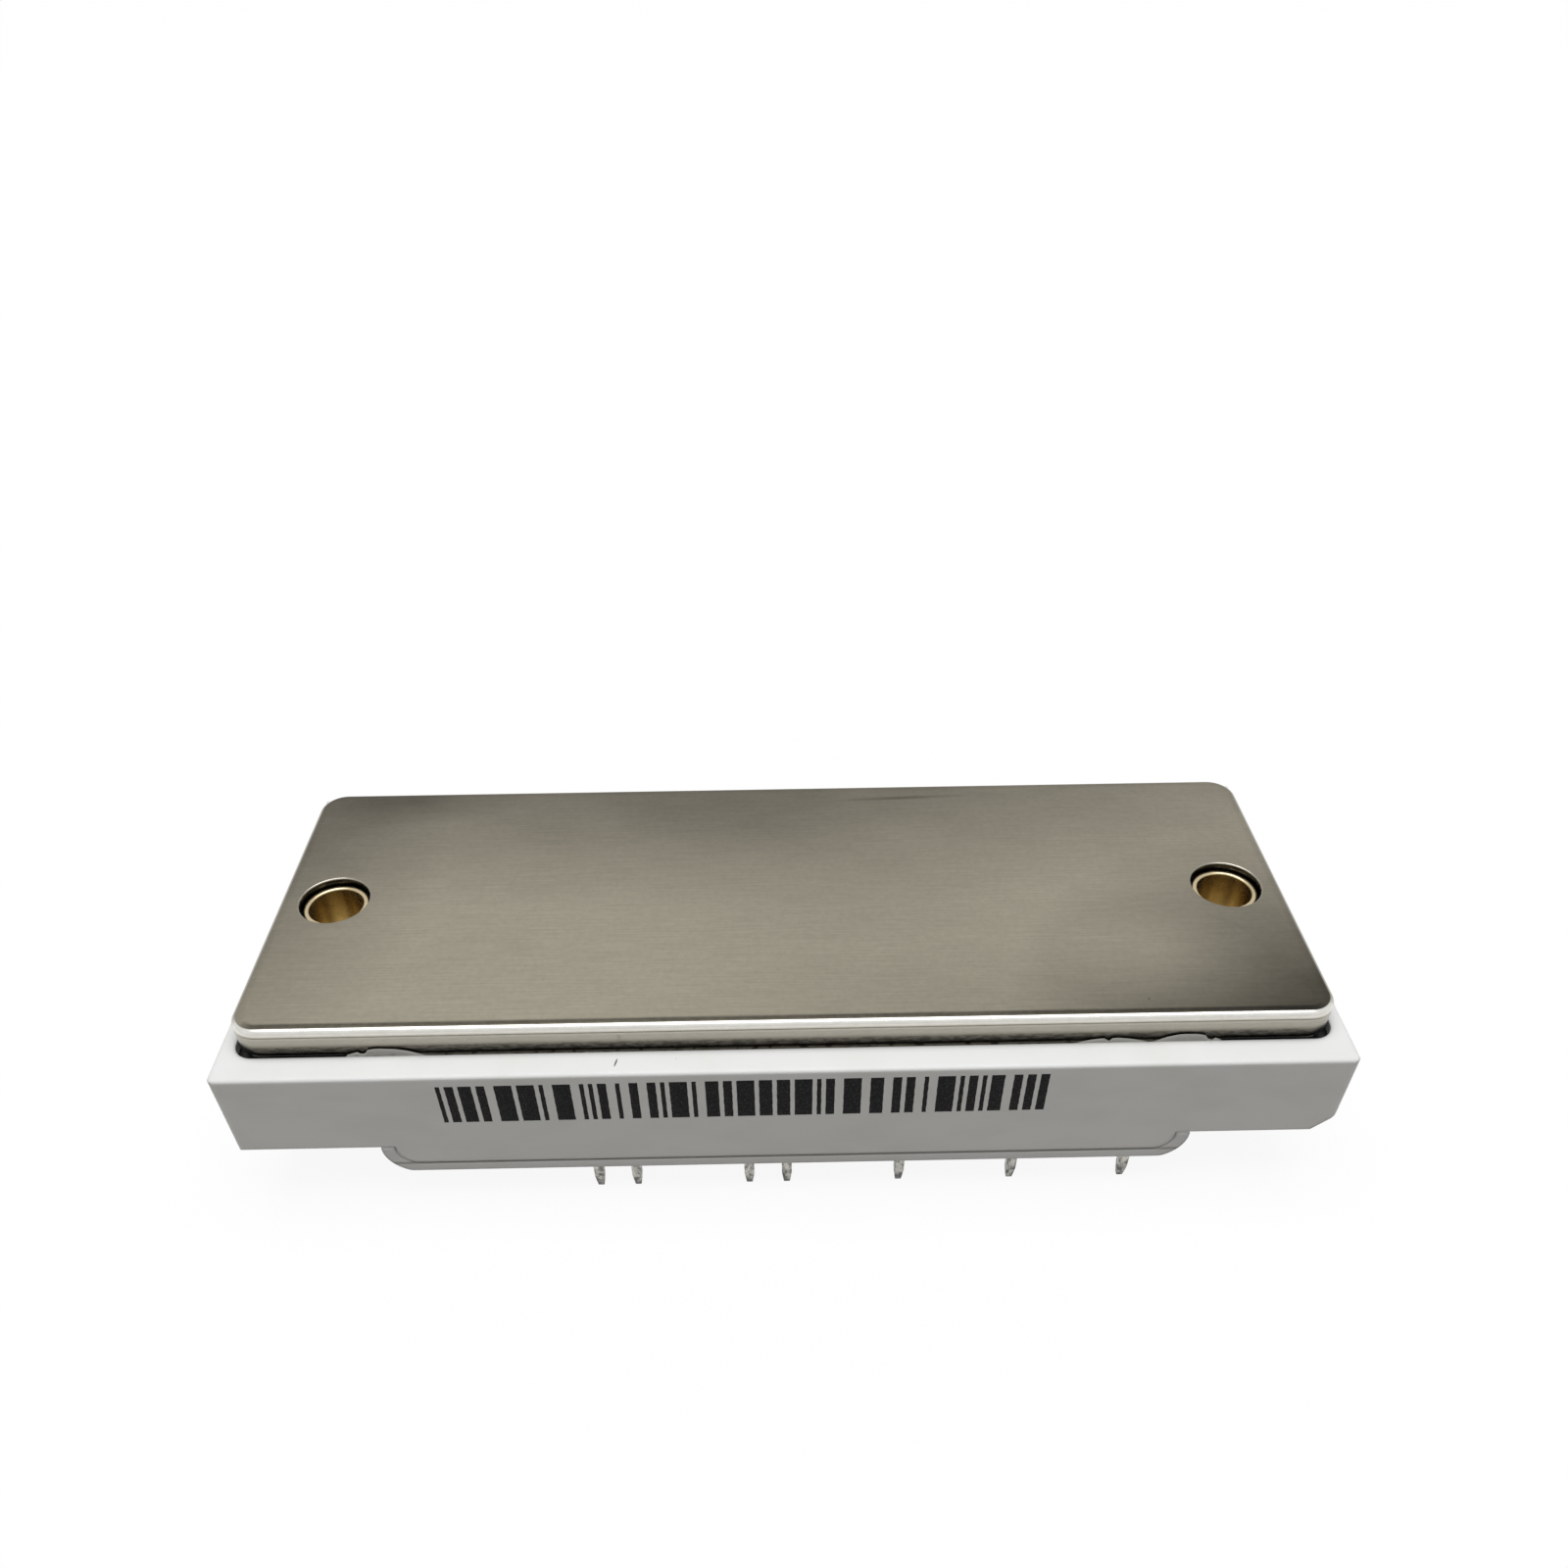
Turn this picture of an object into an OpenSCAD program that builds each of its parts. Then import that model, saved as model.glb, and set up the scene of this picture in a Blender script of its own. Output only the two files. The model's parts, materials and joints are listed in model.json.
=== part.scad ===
// Power module in a long white case with a nickel-plated copper baseplate, two
// brass screw bushings and solder pins, with its substrate, chips, bond wires
// and gel inside.
//
// Frame: the origin is the centre of the baseplate's flat outer face and +Z
// points out of that face. +X runs along the case to its chamfered end. What
// lies below the face is given by its depth, a positive distance along -Z.

/* [Case outline] */
// Length of the case
body_l = 107.5; // [104:0.5:116]
// Width of the case
body_w = 45; // [44.5:0.5:52]
// Depth of the raised pin-side face below the baseplate face
body_h = 16.8; // [16.4:0.1:20]
// Depth of the pin side of the two ears
ear_h = 13.1; // [12:0.1:13.4]
// Length of each ear, from the case's end to the raised block
ear_l = 14; // [13:0.5:15]
// Radius of the raised block's two long-end edges
plateau_r = 3.5; // [2:0.1:3.6]
// Radius of the case's upright corners
body_corner_r = 0.7; // [0.3:0.1:1.5]
// Radius of the case's other outer edges
edge_r = 0.3; // [0.1:0.05:0.6]
// Chamfer on the pin side of the +X end, which shows the orientation
key_chamfer = 2.4; // [1:0.1:3]

/* [Case walls] */
// Depth of the rim round the baseplate
rim_drop = 3.1; // [2:0.1:3.1]
// Width of the rim at the two ends
rim_end_w = 1.45; // [1.1:0.05:2.5]
// Width of the rim along the two long sides
rim_side_w = 2.95; // [2.6:0.05:4]
// Radius of the recess's corners round the baseplate, seen from above
recess_corner_r = 2; // [0.3:0.1:2.5]
// Thickness of the long walls round the chip chamber
side_wall_t = 2.2; // [2:0.1:3]
// Depth of the ledge that carries the pin feet
ledge_drop = 8; // [7:0.5:9]
// Width of that ledge
ledge_w = 2.8; // [2.4:0.1:3.2]
// Width of the relief pocket between the end pins and each bushing
relief_w = 3; // [2:0.5:4]
// Length of each relief pocket
relief_l = 26; // [16:1:28]
// Plastic left under each relief pocket
relief_floor_t = 2.4; // [1.6:0.1:4]

/* [Baseplate] */
// Thickness of the baseplate
plate_t = 3.2; // [3.1:0.1:4]
// Radius of the baseplate's corners, seen from above
plate_corner_r = 2.8; // [1.5:0.1:5]
// Radius of the baseplate's outer face edge
plate_edge_r = 0.7; // [0.3:0.1:1.2]
// Gap between the baseplate and the rim at each end
plate_gap_end = 0.1; // [0.1:0.05:0.5]
// Gap between the baseplate and the rim along each side
plate_gap_side = 0.3; // [0.1:0.05:0.5]
// Diameter of the baseplate's two screw holes
plate_hole_d = 7.2; // [7:0.1:8]
// Bevel at the mouth of each screw hole
plate_hole_bevel = 0.25; // [0.1:0.05:0.5]

/* [Screw bushings] */
// Distance from each end of the case to its screw hole
mount_inset = 7.25; // [6.5:0.25:8]
// Bore of each bushing, for an M5 screw
bushing_bore_d = 5.5; // [5.2:0.1:5.8]
// Outer diameter of each bushing
bushing_d = 6.8; // [6.4:0.1:6.9]
// Depth of the bushing's upper ring below the baseplate face
bushing_drop = 0.75; // [0.1:0.05:1.5]
// Diameter of the bushing's pin-side flange
flange_d = 9.6; // [8.5:0.1:10]
// Thickness of that flange
flange_t = 1.2; // [0.8:0.1:2]
// Gap all round a bushing in the case
insert_gap = 0.02; // [0.01:0.01:0.05]

/* [Adhesive] */
// Width of the glue groove under the baseplate's edge
groove_w = 1.2; // [0.8:0.1:1.4]
// Depth of the glue groove below its seat
groove_depth = 1.4; // [0.8:0.1:2]
// Length at each end of the plate's sides where the gap has no glue in it
glue_bare_l = 11.2; // [6:0.1:16]
// How far the glue lies below its seat there
glue_sag = 0.9; // [0.4:0.1:1]

/* [Lid] */
// Thickness of the lid
lid_t = 1.3; // [1:0.1:1.8]
// Open seam between the lid and the case
lid_seam = 0.15; // [0.05:0.05:0.3]
// Gap all round a pin or post in the lid
slot_clear = 0.15; // [0.1:0.05:0.25]
// Height of the rib that centres the lid in the chamber
lid_rib_h = 1.4; // [0.8:0.1:2]
// Thickness of that rib
lid_rib_t = 1; // [0.6:0.1:1.5]

/* [Board posts] */
// Distance from the raised block's end to its posts
post_inset_x = 5.45; // [5.3:0.05:5.6]
// Distance from the long faces to the posts
post_inset_y = 5.35; // [5.1:0.05:6]
// Diameter of each post
post_d = 5.2; // [4.5:0.1:5.4]
// Pilot hole for a self-tapping screw
post_hole_d = 2.3; // [2:0.1:2.6]
// Depth of the pilot hole
post_hole_depth = 7.5; // [6:0.1:7.8]

/* [Pins] */
// Grid on which the pins stand
pin_grid = 3.81; // [3.75:0.01:3.85]
// Width of a pin along its wall
pin_w = 1; // [0.8:0.05:1.15]
// Thickness of a pin across its wall
pin_t = 0.8; // [0.6:0.05:0.9]
// Width of a pin at its tip
pin_tip_w = 0.65; // [0.5:0.05:0.75]
// Length of the tapered tip
pin_tip_l = 1.2; // [0.8:0.1:2]
// How far the pins stand out of the raised face
pin_stand = 3.9; // [3:0.1:5]
// Distance from the long outer faces to the side pins' centres
pin_inset = 1.1; // [1:0.05:1.3]
// Least distance from the raised block's end to the end pins' centres
end_pin_margin = 5.3; // [5.2:0.05:5.4]
// Plastic between the end pins' centres and the chip chamber
end_pin_wall = 2.79; // [2.5:0.01:2.8]
// Thickness of the bent foot inside the chamber
foot_t = 0.6; // [0.4:0.05:0.8]
// How far a foot reaches over its ledge
foot_reach = 2; // [1.5:0.1:2.3]

/* [Substrate] */
// Gap between the substrate and the walls of its opening
substrate_clear = 0.7; // [0.4:0.1:1]
// Thickness of the solder under the substrate
solder_t = 0.15; // [0.1:0.05:0.25]
// Thickness of each copper layer
copper_t = 0.3; // [0.2:0.05:0.4]
// Thickness of the ceramic
ceramic_t = 0.4; // [0.35:0.05:0.65]
// Bare ceramic round each copper layer
ceramic_border = 0.4; // [0.3:0.05:0.6]
// Gap between neighbouring tracks
track_gap = 0.8; // [0.5:0.1:0.9]
// Width of an edge pad across the substrate's edge
edge_pad_w = 1.6; // [1.4:0.1:1.8]
// Length of an edge pad beside a side pin
side_pad_l = 2.4; // [2:0.1:2.6]
// Length of an edge pad beside an end pin
end_pad_l = 4; // [3.8:0.1:4.4]

/* [Chips and wires] */
// Bare track kept beside each chip's cell for the next wires
wire_strip = 0.25; // [0.2:0.05:0.5]
// Margin round a transistor chip in its cell
igbt_margin = 0.5; // [0.45:0.05:1]
// Margin round a freewheeling diode chip in its cell
diode_margin = 1; // [0.5:0.05:1.5]
// Margin round a rectifier diode chip in its cell
rectifier_margin = 0.7; // [0.5:0.05:1.5]
// Thickness of a chip with its solder
chip_t = 0.35; // [0.25:0.05:0.5]
// Length of the thermistor
thermistor_l = 3.2; // [2.4:0.1:4]
// Width of the thermistor
thermistor_w = 1.6; // [1:0.1:2]
// Height of the thermistor
thermistor_h = 0.9; // [0.6:0.1:1.2]
// Diameter of the bond wires
wire_d = 0.3; // [0.2:0.05:0.4]
// Distance between the two wires of a chip
wire_pitch = 2; // [1:0.1:2.2]
// Depth of the gel's upper surface
gel_level = 12.2; // [11.6:0.1:13]

/* [Hidden] */
$fn = 48;
eps = 0.01;

// Raised block and screw holes
plateau_l = body_l - 2 * ear_l;
mount_pitch = body_l - 2 * mount_inset;
post_pitch_x = plateau_l - 2 * post_inset_x;
post_pitch_y = body_w - 2 * post_inset_y;

// Baseplate and its recess in the case
plate_l = body_l - 2 * (rim_end_w + plate_gap_end);
plate_w = body_w - 2 * (rim_side_w + plate_gap_side);
recess_l = plate_l + 2 * plate_gap_end;
recess_w = plate_w + 2 * plate_gap_side;
groove_r = max(recess_corner_r - groove_w, eps);
glue_fill_l = plate_l - 2 * glue_bare_l;

// The end pins stand on the last grid step that the raised block has room for
LAST = floor((plateau_l / 2 - end_pin_margin) / pin_grid);
end_pin_x = LAST * pin_grid;
side_pin_y = body_w / 2 - pin_inset;

// Chip chamber: the opening inside the ledge, then the wider space past it
chamber_l = 2 * (end_pin_x - end_pin_wall);
chamber_w = body_w - 2 * side_wall_t;
opening_l = chamber_l - 2 * ledge_w;
opening_w = chamber_w - 2 * ledge_w;
chamber_r = 1;

// Lid and the top of the case walls
wall_top = body_h - lid_t - lid_seam;
plateau_inner_l = plateau_l - 2 * (lid_t + lid_seam);
plateau_inner_r = max(plateau_r - lid_t - lid_seam, edge_r);

// Substrate layers, as depths
solder_z = plate_t;
back_copper_z = solder_z + solder_t;
ceramic_z = back_copper_z + copper_t;
track_z = ceramic_z + ceramic_t;
chip_z = track_z + copper_t;
substrate_l = opening_l - 2 * substrate_clear;
substrate_w = opening_w - 2 * substrate_clear;
copper_l = substrate_l - 2 * ceramic_border;
copper_w = substrate_w - 2 * ceramic_border;

// Edge pads stand round a field of chip columns and rows
COLUMNS = 6;
ROWS = 4;
RECTIFIER_ROWS = 3;
field_l = copper_l - 2 * (edge_pad_w + ceramic_border);
field_w = copper_w - 2 * (edge_pad_w + ceramic_border);
column_pitch = field_l / COLUMNS;
row_pitch = field_w / ROWS;
rectifier_pitch = field_w / RECTIFIER_ROWS;
track_l = column_pitch - track_gap;
edge_pad_x = copper_l / 2 - edge_pad_w / 2;
edge_pad_y = copper_w / 2 - edge_pad_w / 2;

// Chips are square and keep their margin in a cell of the field
cell = min(row_pitch, track_l - 2 * wire_strip);
rectifier_cell = min(rectifier_pitch, track_l - 2 * wire_strip);
igbt_side = cell - 2 * igbt_margin;
diode_side = cell - 2 * diode_margin;
rectifier_side = rectifier_cell - 2 * rectifier_margin;

function column_x(c) = (c - (COLUMNS - 1) / 2) * column_pitch;
function row_y(r) = ((ROWS - 1) / 2 - r) * row_pitch;

// Column 2 is the brake, columns 3 to 5 are the three output phases
IGBTS = concat(
    [[column_x(2), row_y(0)]],
    [for (c = [3:5], r = [0, 2]) [column_x(c), row_y(r)]]
);
DIODES = concat(
    [[column_x(2), row_y(1)]],
    [for (c = [3:5], r = [1, 3]) [column_x(c), row_y(r)]]
);
RECTIFIERS = [for (c = [0:1], k = [-1:1]) [column_x(c), k * rectifier_pitch]];
thermistor_xy = [column_x(2), -row_pitch];

// Pins as steps on the grid: the long sides along X, the ends along Y. The
// outer pins of a side are counted inwards from its last step.
FRONT_STEPS = [4 - LAST, 5 - LAST, -1, 0, 3, LAST - 3, LAST];
BACK_STEPS = [-LAST, 3 - LAST, 4 - LAST, -2, 0, 2, LAST - 4, LAST - 3, LAST];
END_STEPS = [-3, -1, 1, 3];
side_foot_l = side_wall_t - pin_inset + foot_reach;
end_foot_l = end_pin_wall + foot_reach;
foot_limit_x = chamber_l / 2 - pin_w;
pad_limit_x = copper_l / 2 - side_pad_l / 2;

function within(v, limit) = sign(v) * min(abs(v), limit);

// Each pin is [x, y, turn, foot length, sideways step of the foot]. With no
// turn its foot points along +Y.
PINS = concat(
    [for (s = FRONT_STEPS)
        let (x = s * pin_grid)
        [x, -side_pin_y, 0, side_foot_l, within(x, foot_limit_x) - x]],
    [for (s = BACK_STEPS)
        let (x = s * pin_grid)
        [x, side_pin_y, 180, side_foot_l, x - within(x, foot_limit_x)]],
    [for (s = END_STEPS) [-end_pin_x, s * pin_grid, -90, end_foot_l, 0]],
    [for (s = END_STEPS) [end_pin_x, s * pin_grid, 90, end_foot_l, 0]]
);

// Where a pin's wire lands on its foot, and on its edge pad. END_STEPS lie two
// steps apart, and each end pad lies beside its own chip row.
function along(turn) = [cos(turn), sin(turn)];
function inward(turn) = [-sin(turn), cos(turn)];
function foot_end(pin) =
    [pin.x, pin.y]
    + along(pin[2]) * pin[4]
    + inward(pin[2]) * (pin[3] - pin_w / 2);
function is_end_pin(pin) = abs(pin[2]) == 90;
function edge_pad(pin) = is_end_pin(pin)
    ? [sign(pin.x) * edge_pad_x, pin.y / pin_grid * row_pitch / 2]
    : [within(pin.x, pad_limit_x), sign(pin.y) * edge_pad_y];

// The relief pocket lies midway between the end pins and a bushing's flange
relief_x = (end_pin_x + pin_t / 2 + mount_pitch / 2 - flange_d / 2) / 2;

function numbered(stem, list) = [for (i = [1:len(list)]) str(stem, i)];

// ---------------------------------------------------------------- helpers

// Rectangle with round corners, centred
module round_rect(l, w, r) {
    square([l - 2 * r, w], center = true);
    square([l, w - 2 * r], center = true);
    for (x = [-1, 1], y = [-1, 1])
        translate([x * (l / 2 - r), y * (w / 2 - r)]) circle(r);
}

// Slab between two depths, its outline seen from above
module slab(l, w, r, top, bottom) {
    translate([0, 0, -bottom])
        linear_extrude(bottom - top)
            round_rect(l, w, r);
}

// Sharp-edged slab at a place
module tile(xy, l, w, top, bottom) {
    translate([xy.x - l / 2, xy.y - w / 2, -bottom])
        cube([l, w, bottom - top]);
}

// Upright cylinder between two depths
module post(xy, d, top, bottom) {
    translate([xy.x, xy.y, -bottom])
        cylinder(d = d, h = bottom - top);
}

// Carries an outline in X and Z along the case's width
module across(width) {
    rotate([90, 0, 0])
        linear_extrude(width, center = true)
            children();
}

// Carries an outline in Y and Z along the case's length
module lengthways(length) {
    rotate([90, 0, 90])
        linear_extrude(length, center = true)
            children();
}

// Rectangle of a width between two depths, round at its corners
module upright_rect(w, r, top, bottom) {
    translate([0, -(top + bottom) / 2])
        round_rect(w, bottom - top, r);
}

// Rectangle of a width between two depths, round at its lower corners
module bowl_rect(w, r, top, bottom) {
    translate([-w / 2, r - bottom]) square([w, bottom - r - top]);
    translate([r - w / 2, -bottom]) square([w - 2 * r, r + eps]);
    for (s = [-1, 1])
        translate([s * (w / 2 - r), r - bottom]) circle(r);
}

// ------------------------------------------------------------------- case

// Ears and rim, with the key chamfer at the +X end
module ear_block() {
    intersection() {
        slab(body_l, body_w, body_corner_r, rim_drop, ear_h);
        lengthways(body_l) upright_rect(body_w, edge_r, rim_drop, ear_h);
        across(body_w)
            difference() {
                upright_rect(body_l, edge_r, rim_drop, ear_h);
                translate([body_l / 2, -ear_h])
                    rotate(45)
                        square(key_chamfer * sqrt(2), center = true);
            }
    }
}

// The raised block's walls, under the lid
module plateau_block() {
    across(body_w)
        bowl_rect(plateau_inner_l, plateau_inner_r, ear_h / 2, wall_top);
}

module board_posts(d, top, bottom) {
    for (x = [-1, 1], y = [-1, 1])
        post([x * post_pitch_x / 2, y * post_pitch_y / 2], d, top, bottom);
}

module both_bushings() {
    for (s = [-1, 1]) translate([s * mount_pitch / 2, 0, 0]) children();
}

// Outline of the glue groove between two depths
module groove_ring(top, bottom) {
    difference() {
        slab(recess_l, recess_w, recess_corner_r, top, bottom);
        slab(recess_l - 2 * groove_w, recess_w - 2 * groove_w, groove_r,
             top - eps, bottom + eps);
    }
}

// The opening inside the ledge, from a depth down to the ledge
module opening(top) {
    slab(opening_l, opening_w, chamber_r, top, ledge_drop + eps);
}

// The wider space past the ledge, down to a depth
module upper_chamber(bottom) {
    slab(chamber_l, chamber_w, chamber_r, ledge_drop, bottom);
}

module housing_frame() {
    color("#f1f1ef") difference() {
        union() {
            ear_block();
            plateau_block();
            board_posts(post_d, wall_top - eps, body_h);
        }
        slab(recess_l, recess_w, recess_corner_r, rim_drop - 1, plate_t);
        groove_ring(rim_drop - 1, plate_t + groove_depth);
        opening(plate_t - 1);
        upper_chamber(body_h + 1);
        for (s = [-1, 1])
            tile([s * relief_x, 0], relief_w, relief_l,
                 plate_t - 1, ear_h - relief_floor_t);
        both_bushings() {
            post([0, 0], bushing_d + 2 * insert_gap, 0, body_h);
            post([0, 0], flange_d + 2 * insert_gap, ear_h - flange_t, body_h);
        }
        board_posts(post_hole_d, body_h - post_hole_depth, body_h + 1);
        for (p = PINS) pin(p);
    }
}

module lid() {
    color("#ecece9") difference() {
        union() {
            intersection() {
                across(body_w)
                    difference() {
                        bowl_rect(plateau_l, plateau_r, ear_h, body_h);
                        bowl_rect(plateau_l - 2 * lid_t,
                                  max(plateau_r - lid_t, edge_r),
                                  ear_h - 1, body_h - lid_t);
                    }
                lengthways(plateau_l)
                    bowl_rect(body_w, edge_r, ear_h, body_h);
            }
            lid_rib();
        }
        board_posts(post_d + 2 * slot_clear, wall_top - 1, body_h + 1);
        for (p = PINS)
            translate([p.x, p.y, 0])
                rotate(p[2])
                    tile([0, 0], pin_w + 2 * slot_clear,
                         pin_t + 2 * slot_clear, wall_top - 1, body_h + 1);
    }
}

// Rib inside the chamber that centres the lid
module lid_rib() {
    rib_l = chamber_l - 2 * slot_clear;
    rib_w = chamber_w - 2 * slot_clear;
    difference() {
        slab(rib_l, rib_w, chamber_r - slot_clear,
             body_h - lid_t - lid_rib_h, body_h - lid_t + eps);
        slab(rib_l - 2 * lid_rib_t, rib_w - 2 * lid_rib_t, eps,
             body_h - lid_t - lid_rib_h - 1, body_h - lid_t);
    }
}

// -------------------------------------------------- baseplate and fastening

// Rectangle of a width between the face and a depth, its face corners round
module crowned_rect(w, r, bottom) {
    translate([-w / 2, -bottom]) square([w, bottom - r]);
    translate([r - w / 2, -r - eps]) square([w - 2 * r, r + eps]);
    for (s = [-1, 1]) translate([s * (w / 2 - r), -r]) circle(r);
}

module plate_body() {
    straight_l = plate_l - 2 * plate_corner_r;
    straight_w = plate_w - 2 * plate_corner_r;
    lengthways(straight_l) crowned_rect(plate_w, plate_edge_r, plate_t);
    across(straight_w) crowned_rect(plate_l, plate_edge_r, plate_t);
    for (x = [-1, 1], y = [-1, 1])
        translate([x * straight_l / 2, y * straight_w / 2, 0])
            rotate_extrude()
                intersection() {
                    crowned_rect(2 * plate_corner_r, plate_edge_r, plate_t);
                    translate([0, -plate_t])
                        square([plate_corner_r, plate_t]);
                }
}

module baseplate() {
    color("#b3afa6") difference() {
        plate_body();
        both_bushings() {
            post([0, 0], plate_hole_d, -1, plate_t + 1);
            translate([0, 0, -plate_hole_bevel])
                cylinder(d1 = plate_hole_d,
                         d2 = plate_hole_d + 4 * plate_hole_bevel,
                         h = 2 * plate_hole_bevel);
        }
    }
}

module bushing(side) {
    color("#c39a4a") translate([side * mount_pitch / 2, 0, 0]) difference() {
        union() {
            post([0, 0], bushing_d, bushing_drop, ear_h);
            post([0, 0], flange_d, ear_h - flange_t, ear_h);
        }
        post([0, 0], bushing_bore_d, bushing_drop - 1, ear_h + 1);
    }
}

// Glue in the groove, and in the side gap over the filled length
module adhesive_seal() {
    color("#dcdcd8") difference() {
        union() {
            groove_ring(plate_t, plate_t + groove_depth);
            intersection() {
                difference() {
                    slab(recess_l, recess_w, recess_corner_r,
                         min(rim_drop, plate_t), plate_t + eps);
                    slab(plate_l, plate_w, plate_corner_r,
                         0, plate_t + eps);
                }
                tile([0, 0], glue_fill_l, body_w, 0, plate_t + eps);
            }
        }
        for (s = [-1, 1])
            tile([s * (glue_fill_l / 2 + body_l / 2), 0], body_l, body_w,
                 plate_t - eps, plate_t + glue_sag);
    }
}

// -------------------------------------------------------------------- pins

// Outline of a pin's shank and tapered tip, for a full and a tip width
module shank_outline(full, tip) {
    end = body_h + pin_stand;
    polygon([
        [-full / 2, -ledge_drop], [-full / 2, pin_tip_l - end],
        [-tip / 2, -end], [tip / 2, -end],
        [full / 2, pin_tip_l - end], [full / 2, -ledge_drop]
    ]);
}

// A pin with its foot, as PINS describes it
module pin(p) {
    foot_l = p[3];
    step = p[4];
    color("#b9b7b0") translate([p.x, p.y, 0]) rotate(p[2]) {
        intersection() {
            across(2 * pin_w)
                shank_outline(pin_w, pin_tip_w);
            lengthways(2 * pin_w)
                shank_outline(pin_t, pin_tip_w * pin_t / pin_w);
        }
        translate([-pin_w / 2, -pin_t / 2, -ledge_drop - foot_t])
            cube([pin_w, foot_l + pin_t / 2, foot_t]);
        if (abs(step) > eps)
            translate([min(step, 0) - pin_w / 2, foot_l - pin_w,
                       -ledge_drop - foot_t])
                cube([abs(step) + pin_w, pin_w, foot_t]);
    }
}

// ------------------------------------------------- substrate and its chips

module substrate_solder() {
    color("#8d8f92")
        slab(copper_l, copper_w, ceramic_border, solder_z, back_copper_z);
}

module substrate_back_copper() {
    color("#c77d4e")
        slab(copper_l, copper_w, ceramic_border, back_copper_z, ceramic_z);
}

module substrate_ceramic() {
    color("#f4f4f0")
        slab(substrate_l, substrate_w, ceramic_border, ceramic_z, track_z);
}

module track(xy, l, w) {
    tile(xy, l, w, track_z, chip_z);
}

module substrate_tracks() {
    half_w = field_w / 2 - track_gap;
    color("#c77d4e") {
        track([column_x(0), 0], track_l, field_w - track_gap);
        for (k = [-1:1])
            track([column_x(1), k * rectifier_pitch],
                  track_l, rectifier_pitch - track_gap);
        for (c = [2:5]) track([column_x(c), field_w / 4], track_l, half_w);
        for (c = [3:5]) track([column_x(c), -field_w / 4], track_l, half_w);
        for (s = [-1, 1])
            track([column_x(2), -row_pitch + s * row_pitch / 2],
                  track_l, row_pitch - track_gap);
        for (p = PINS)
            if (is_end_pin(p)) track(edge_pad(p), edge_pad_w, end_pad_l);
            else track(edge_pad(p), side_pad_l, edge_pad_w);
    }
}

module chip(xy, side) {
    tile(xy, side, side, chip_z, chip_z + chip_t);
}

module igbt_chip(i) {
    color("#6f7379") chip(IGBTS[i], igbt_side);
}

module diode_chip(i) {
    color("#7c8087") chip(DIODES[i], diode_side);
}

module rectifier_chip(i) {
    color("#767a80") chip(RECTIFIERS[i], rectifier_side);
}

// Bridges the gap between the brake column's two lower tracks
module thermistor() {
    color("#3a3a3c")
        tile(thermistor_xy, thermistor_w, thermistor_l,
             chip_z, chip_z + thermistor_h);
}

// Half a ring between two points [x, y, depth], with a leg to the higher one
module wire(a, b) {
    span = norm([b.x - a.x, b.y - a.y]);
    level = max(a.z, b.z);
    translate([a.x, a.y, -level]) rotate(atan2(b.y - a.y, b.x - a.x)) {
        translate([span / 2, 0, 0])
            rotate([-90, 0, 0])
                rotate_extrude(angle = 180)
                    translate([span / 2, 0]) circle(d = wire_d);
        if (level > a.z) cylinder(d = wire_d, h = level - a.z);
        if (level > b.z)
            translate([span, 0, 0]) cylinder(d = wire_d, h = level - b.z);
    }
}

// Two wires from each chip to the bare strip of the next column's track, and
// one from each pin's foot to its edge pad
module bond_wires() {
    start = wire_pitch / 2;
    landing = column_pitch - track_l / 2 + (track_l - igbt_side) / 4;
    color("#c9cacc") {
        for (c = concat(IGBTS, DIODES, RECTIFIERS), s = [-1, 1])
            let (y = c.y + s * wire_pitch / 2)
            wire([c.x + start, y, chip_z + chip_t],
                 [c.x + landing, y, chip_z]);
        for (p = PINS)
            let (foot = foot_end(p), pad = edge_pad(p))
            wire([foot.x, foot.y, ledge_drop + foot_t],
                 [pad.x, pad.y, chip_z]);
    }
}

// Fills the chamber up to its level, round everything that stands in it
module silicone_gel() {
    color("#e3e8ea", 0.5) difference() {
        union() {
            opening(plate_t);
            upper_chamber(gel_level);
        }
        substrate_solder();
        substrate_back_copper();
        substrate_ceramic();
        substrate_tracks();
        for (i = [0:len(IGBTS) - 1]) igbt_chip(i);
        for (i = [0:len(DIODES) - 1]) diode_chip(i);
        for (i = [0:len(RECTIFIERS) - 1]) rectifier_chip(i);
        thermistor();
        bond_wires();
        for (p = PINS) pin(p);
    }
}

// ---------------------------------------------------------------- assembly

baseplate();
housing_frame();
lid();
bushing(-1);  // bushing_left
bushing(1);  // bushing_right
adhesive_seal();
silicone_gel();
substrate_solder();
substrate_back_copper();
substrate_ceramic();
substrate_tracks();
thermistor();
bond_wires();
for (i = [0:len(IGBTS) - 1])
    igbt_chip(i);
for (i = [0:len(DIODES) - 1])
    diode_chip(i);
for (i = [0:len(RECTIFIERS) - 1])
    rectifier_chip(i);
for (i = [0:len(PINS) - 1])
    pin(PINS[i]);
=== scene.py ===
"""Looks of a flat power semiconductor module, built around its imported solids.

The module stands on its solder pins with the nickel-plated baseplate on top.
Lengths are in metres in the module's own frame: the origin is the centre of
the baseplate's outer face, +Z points out of that face, +X runs along the case
to its chamfered end, and the printed side faces -Y.

Every new piece is a skin over one or more grids of points. A grid is a shape
worked out from two parameters at once, such as the way round an outline and
the way along a cross-section.
"""

from __future__ import annotations

import json
import logging
import math
from dataclasses import dataclass, field
from enum import Enum
from functools import cached_property
from typing import Any, Sequence

import bmesh
import bpy
import numpy as np
from mathutils import Matrix, Vector

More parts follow.
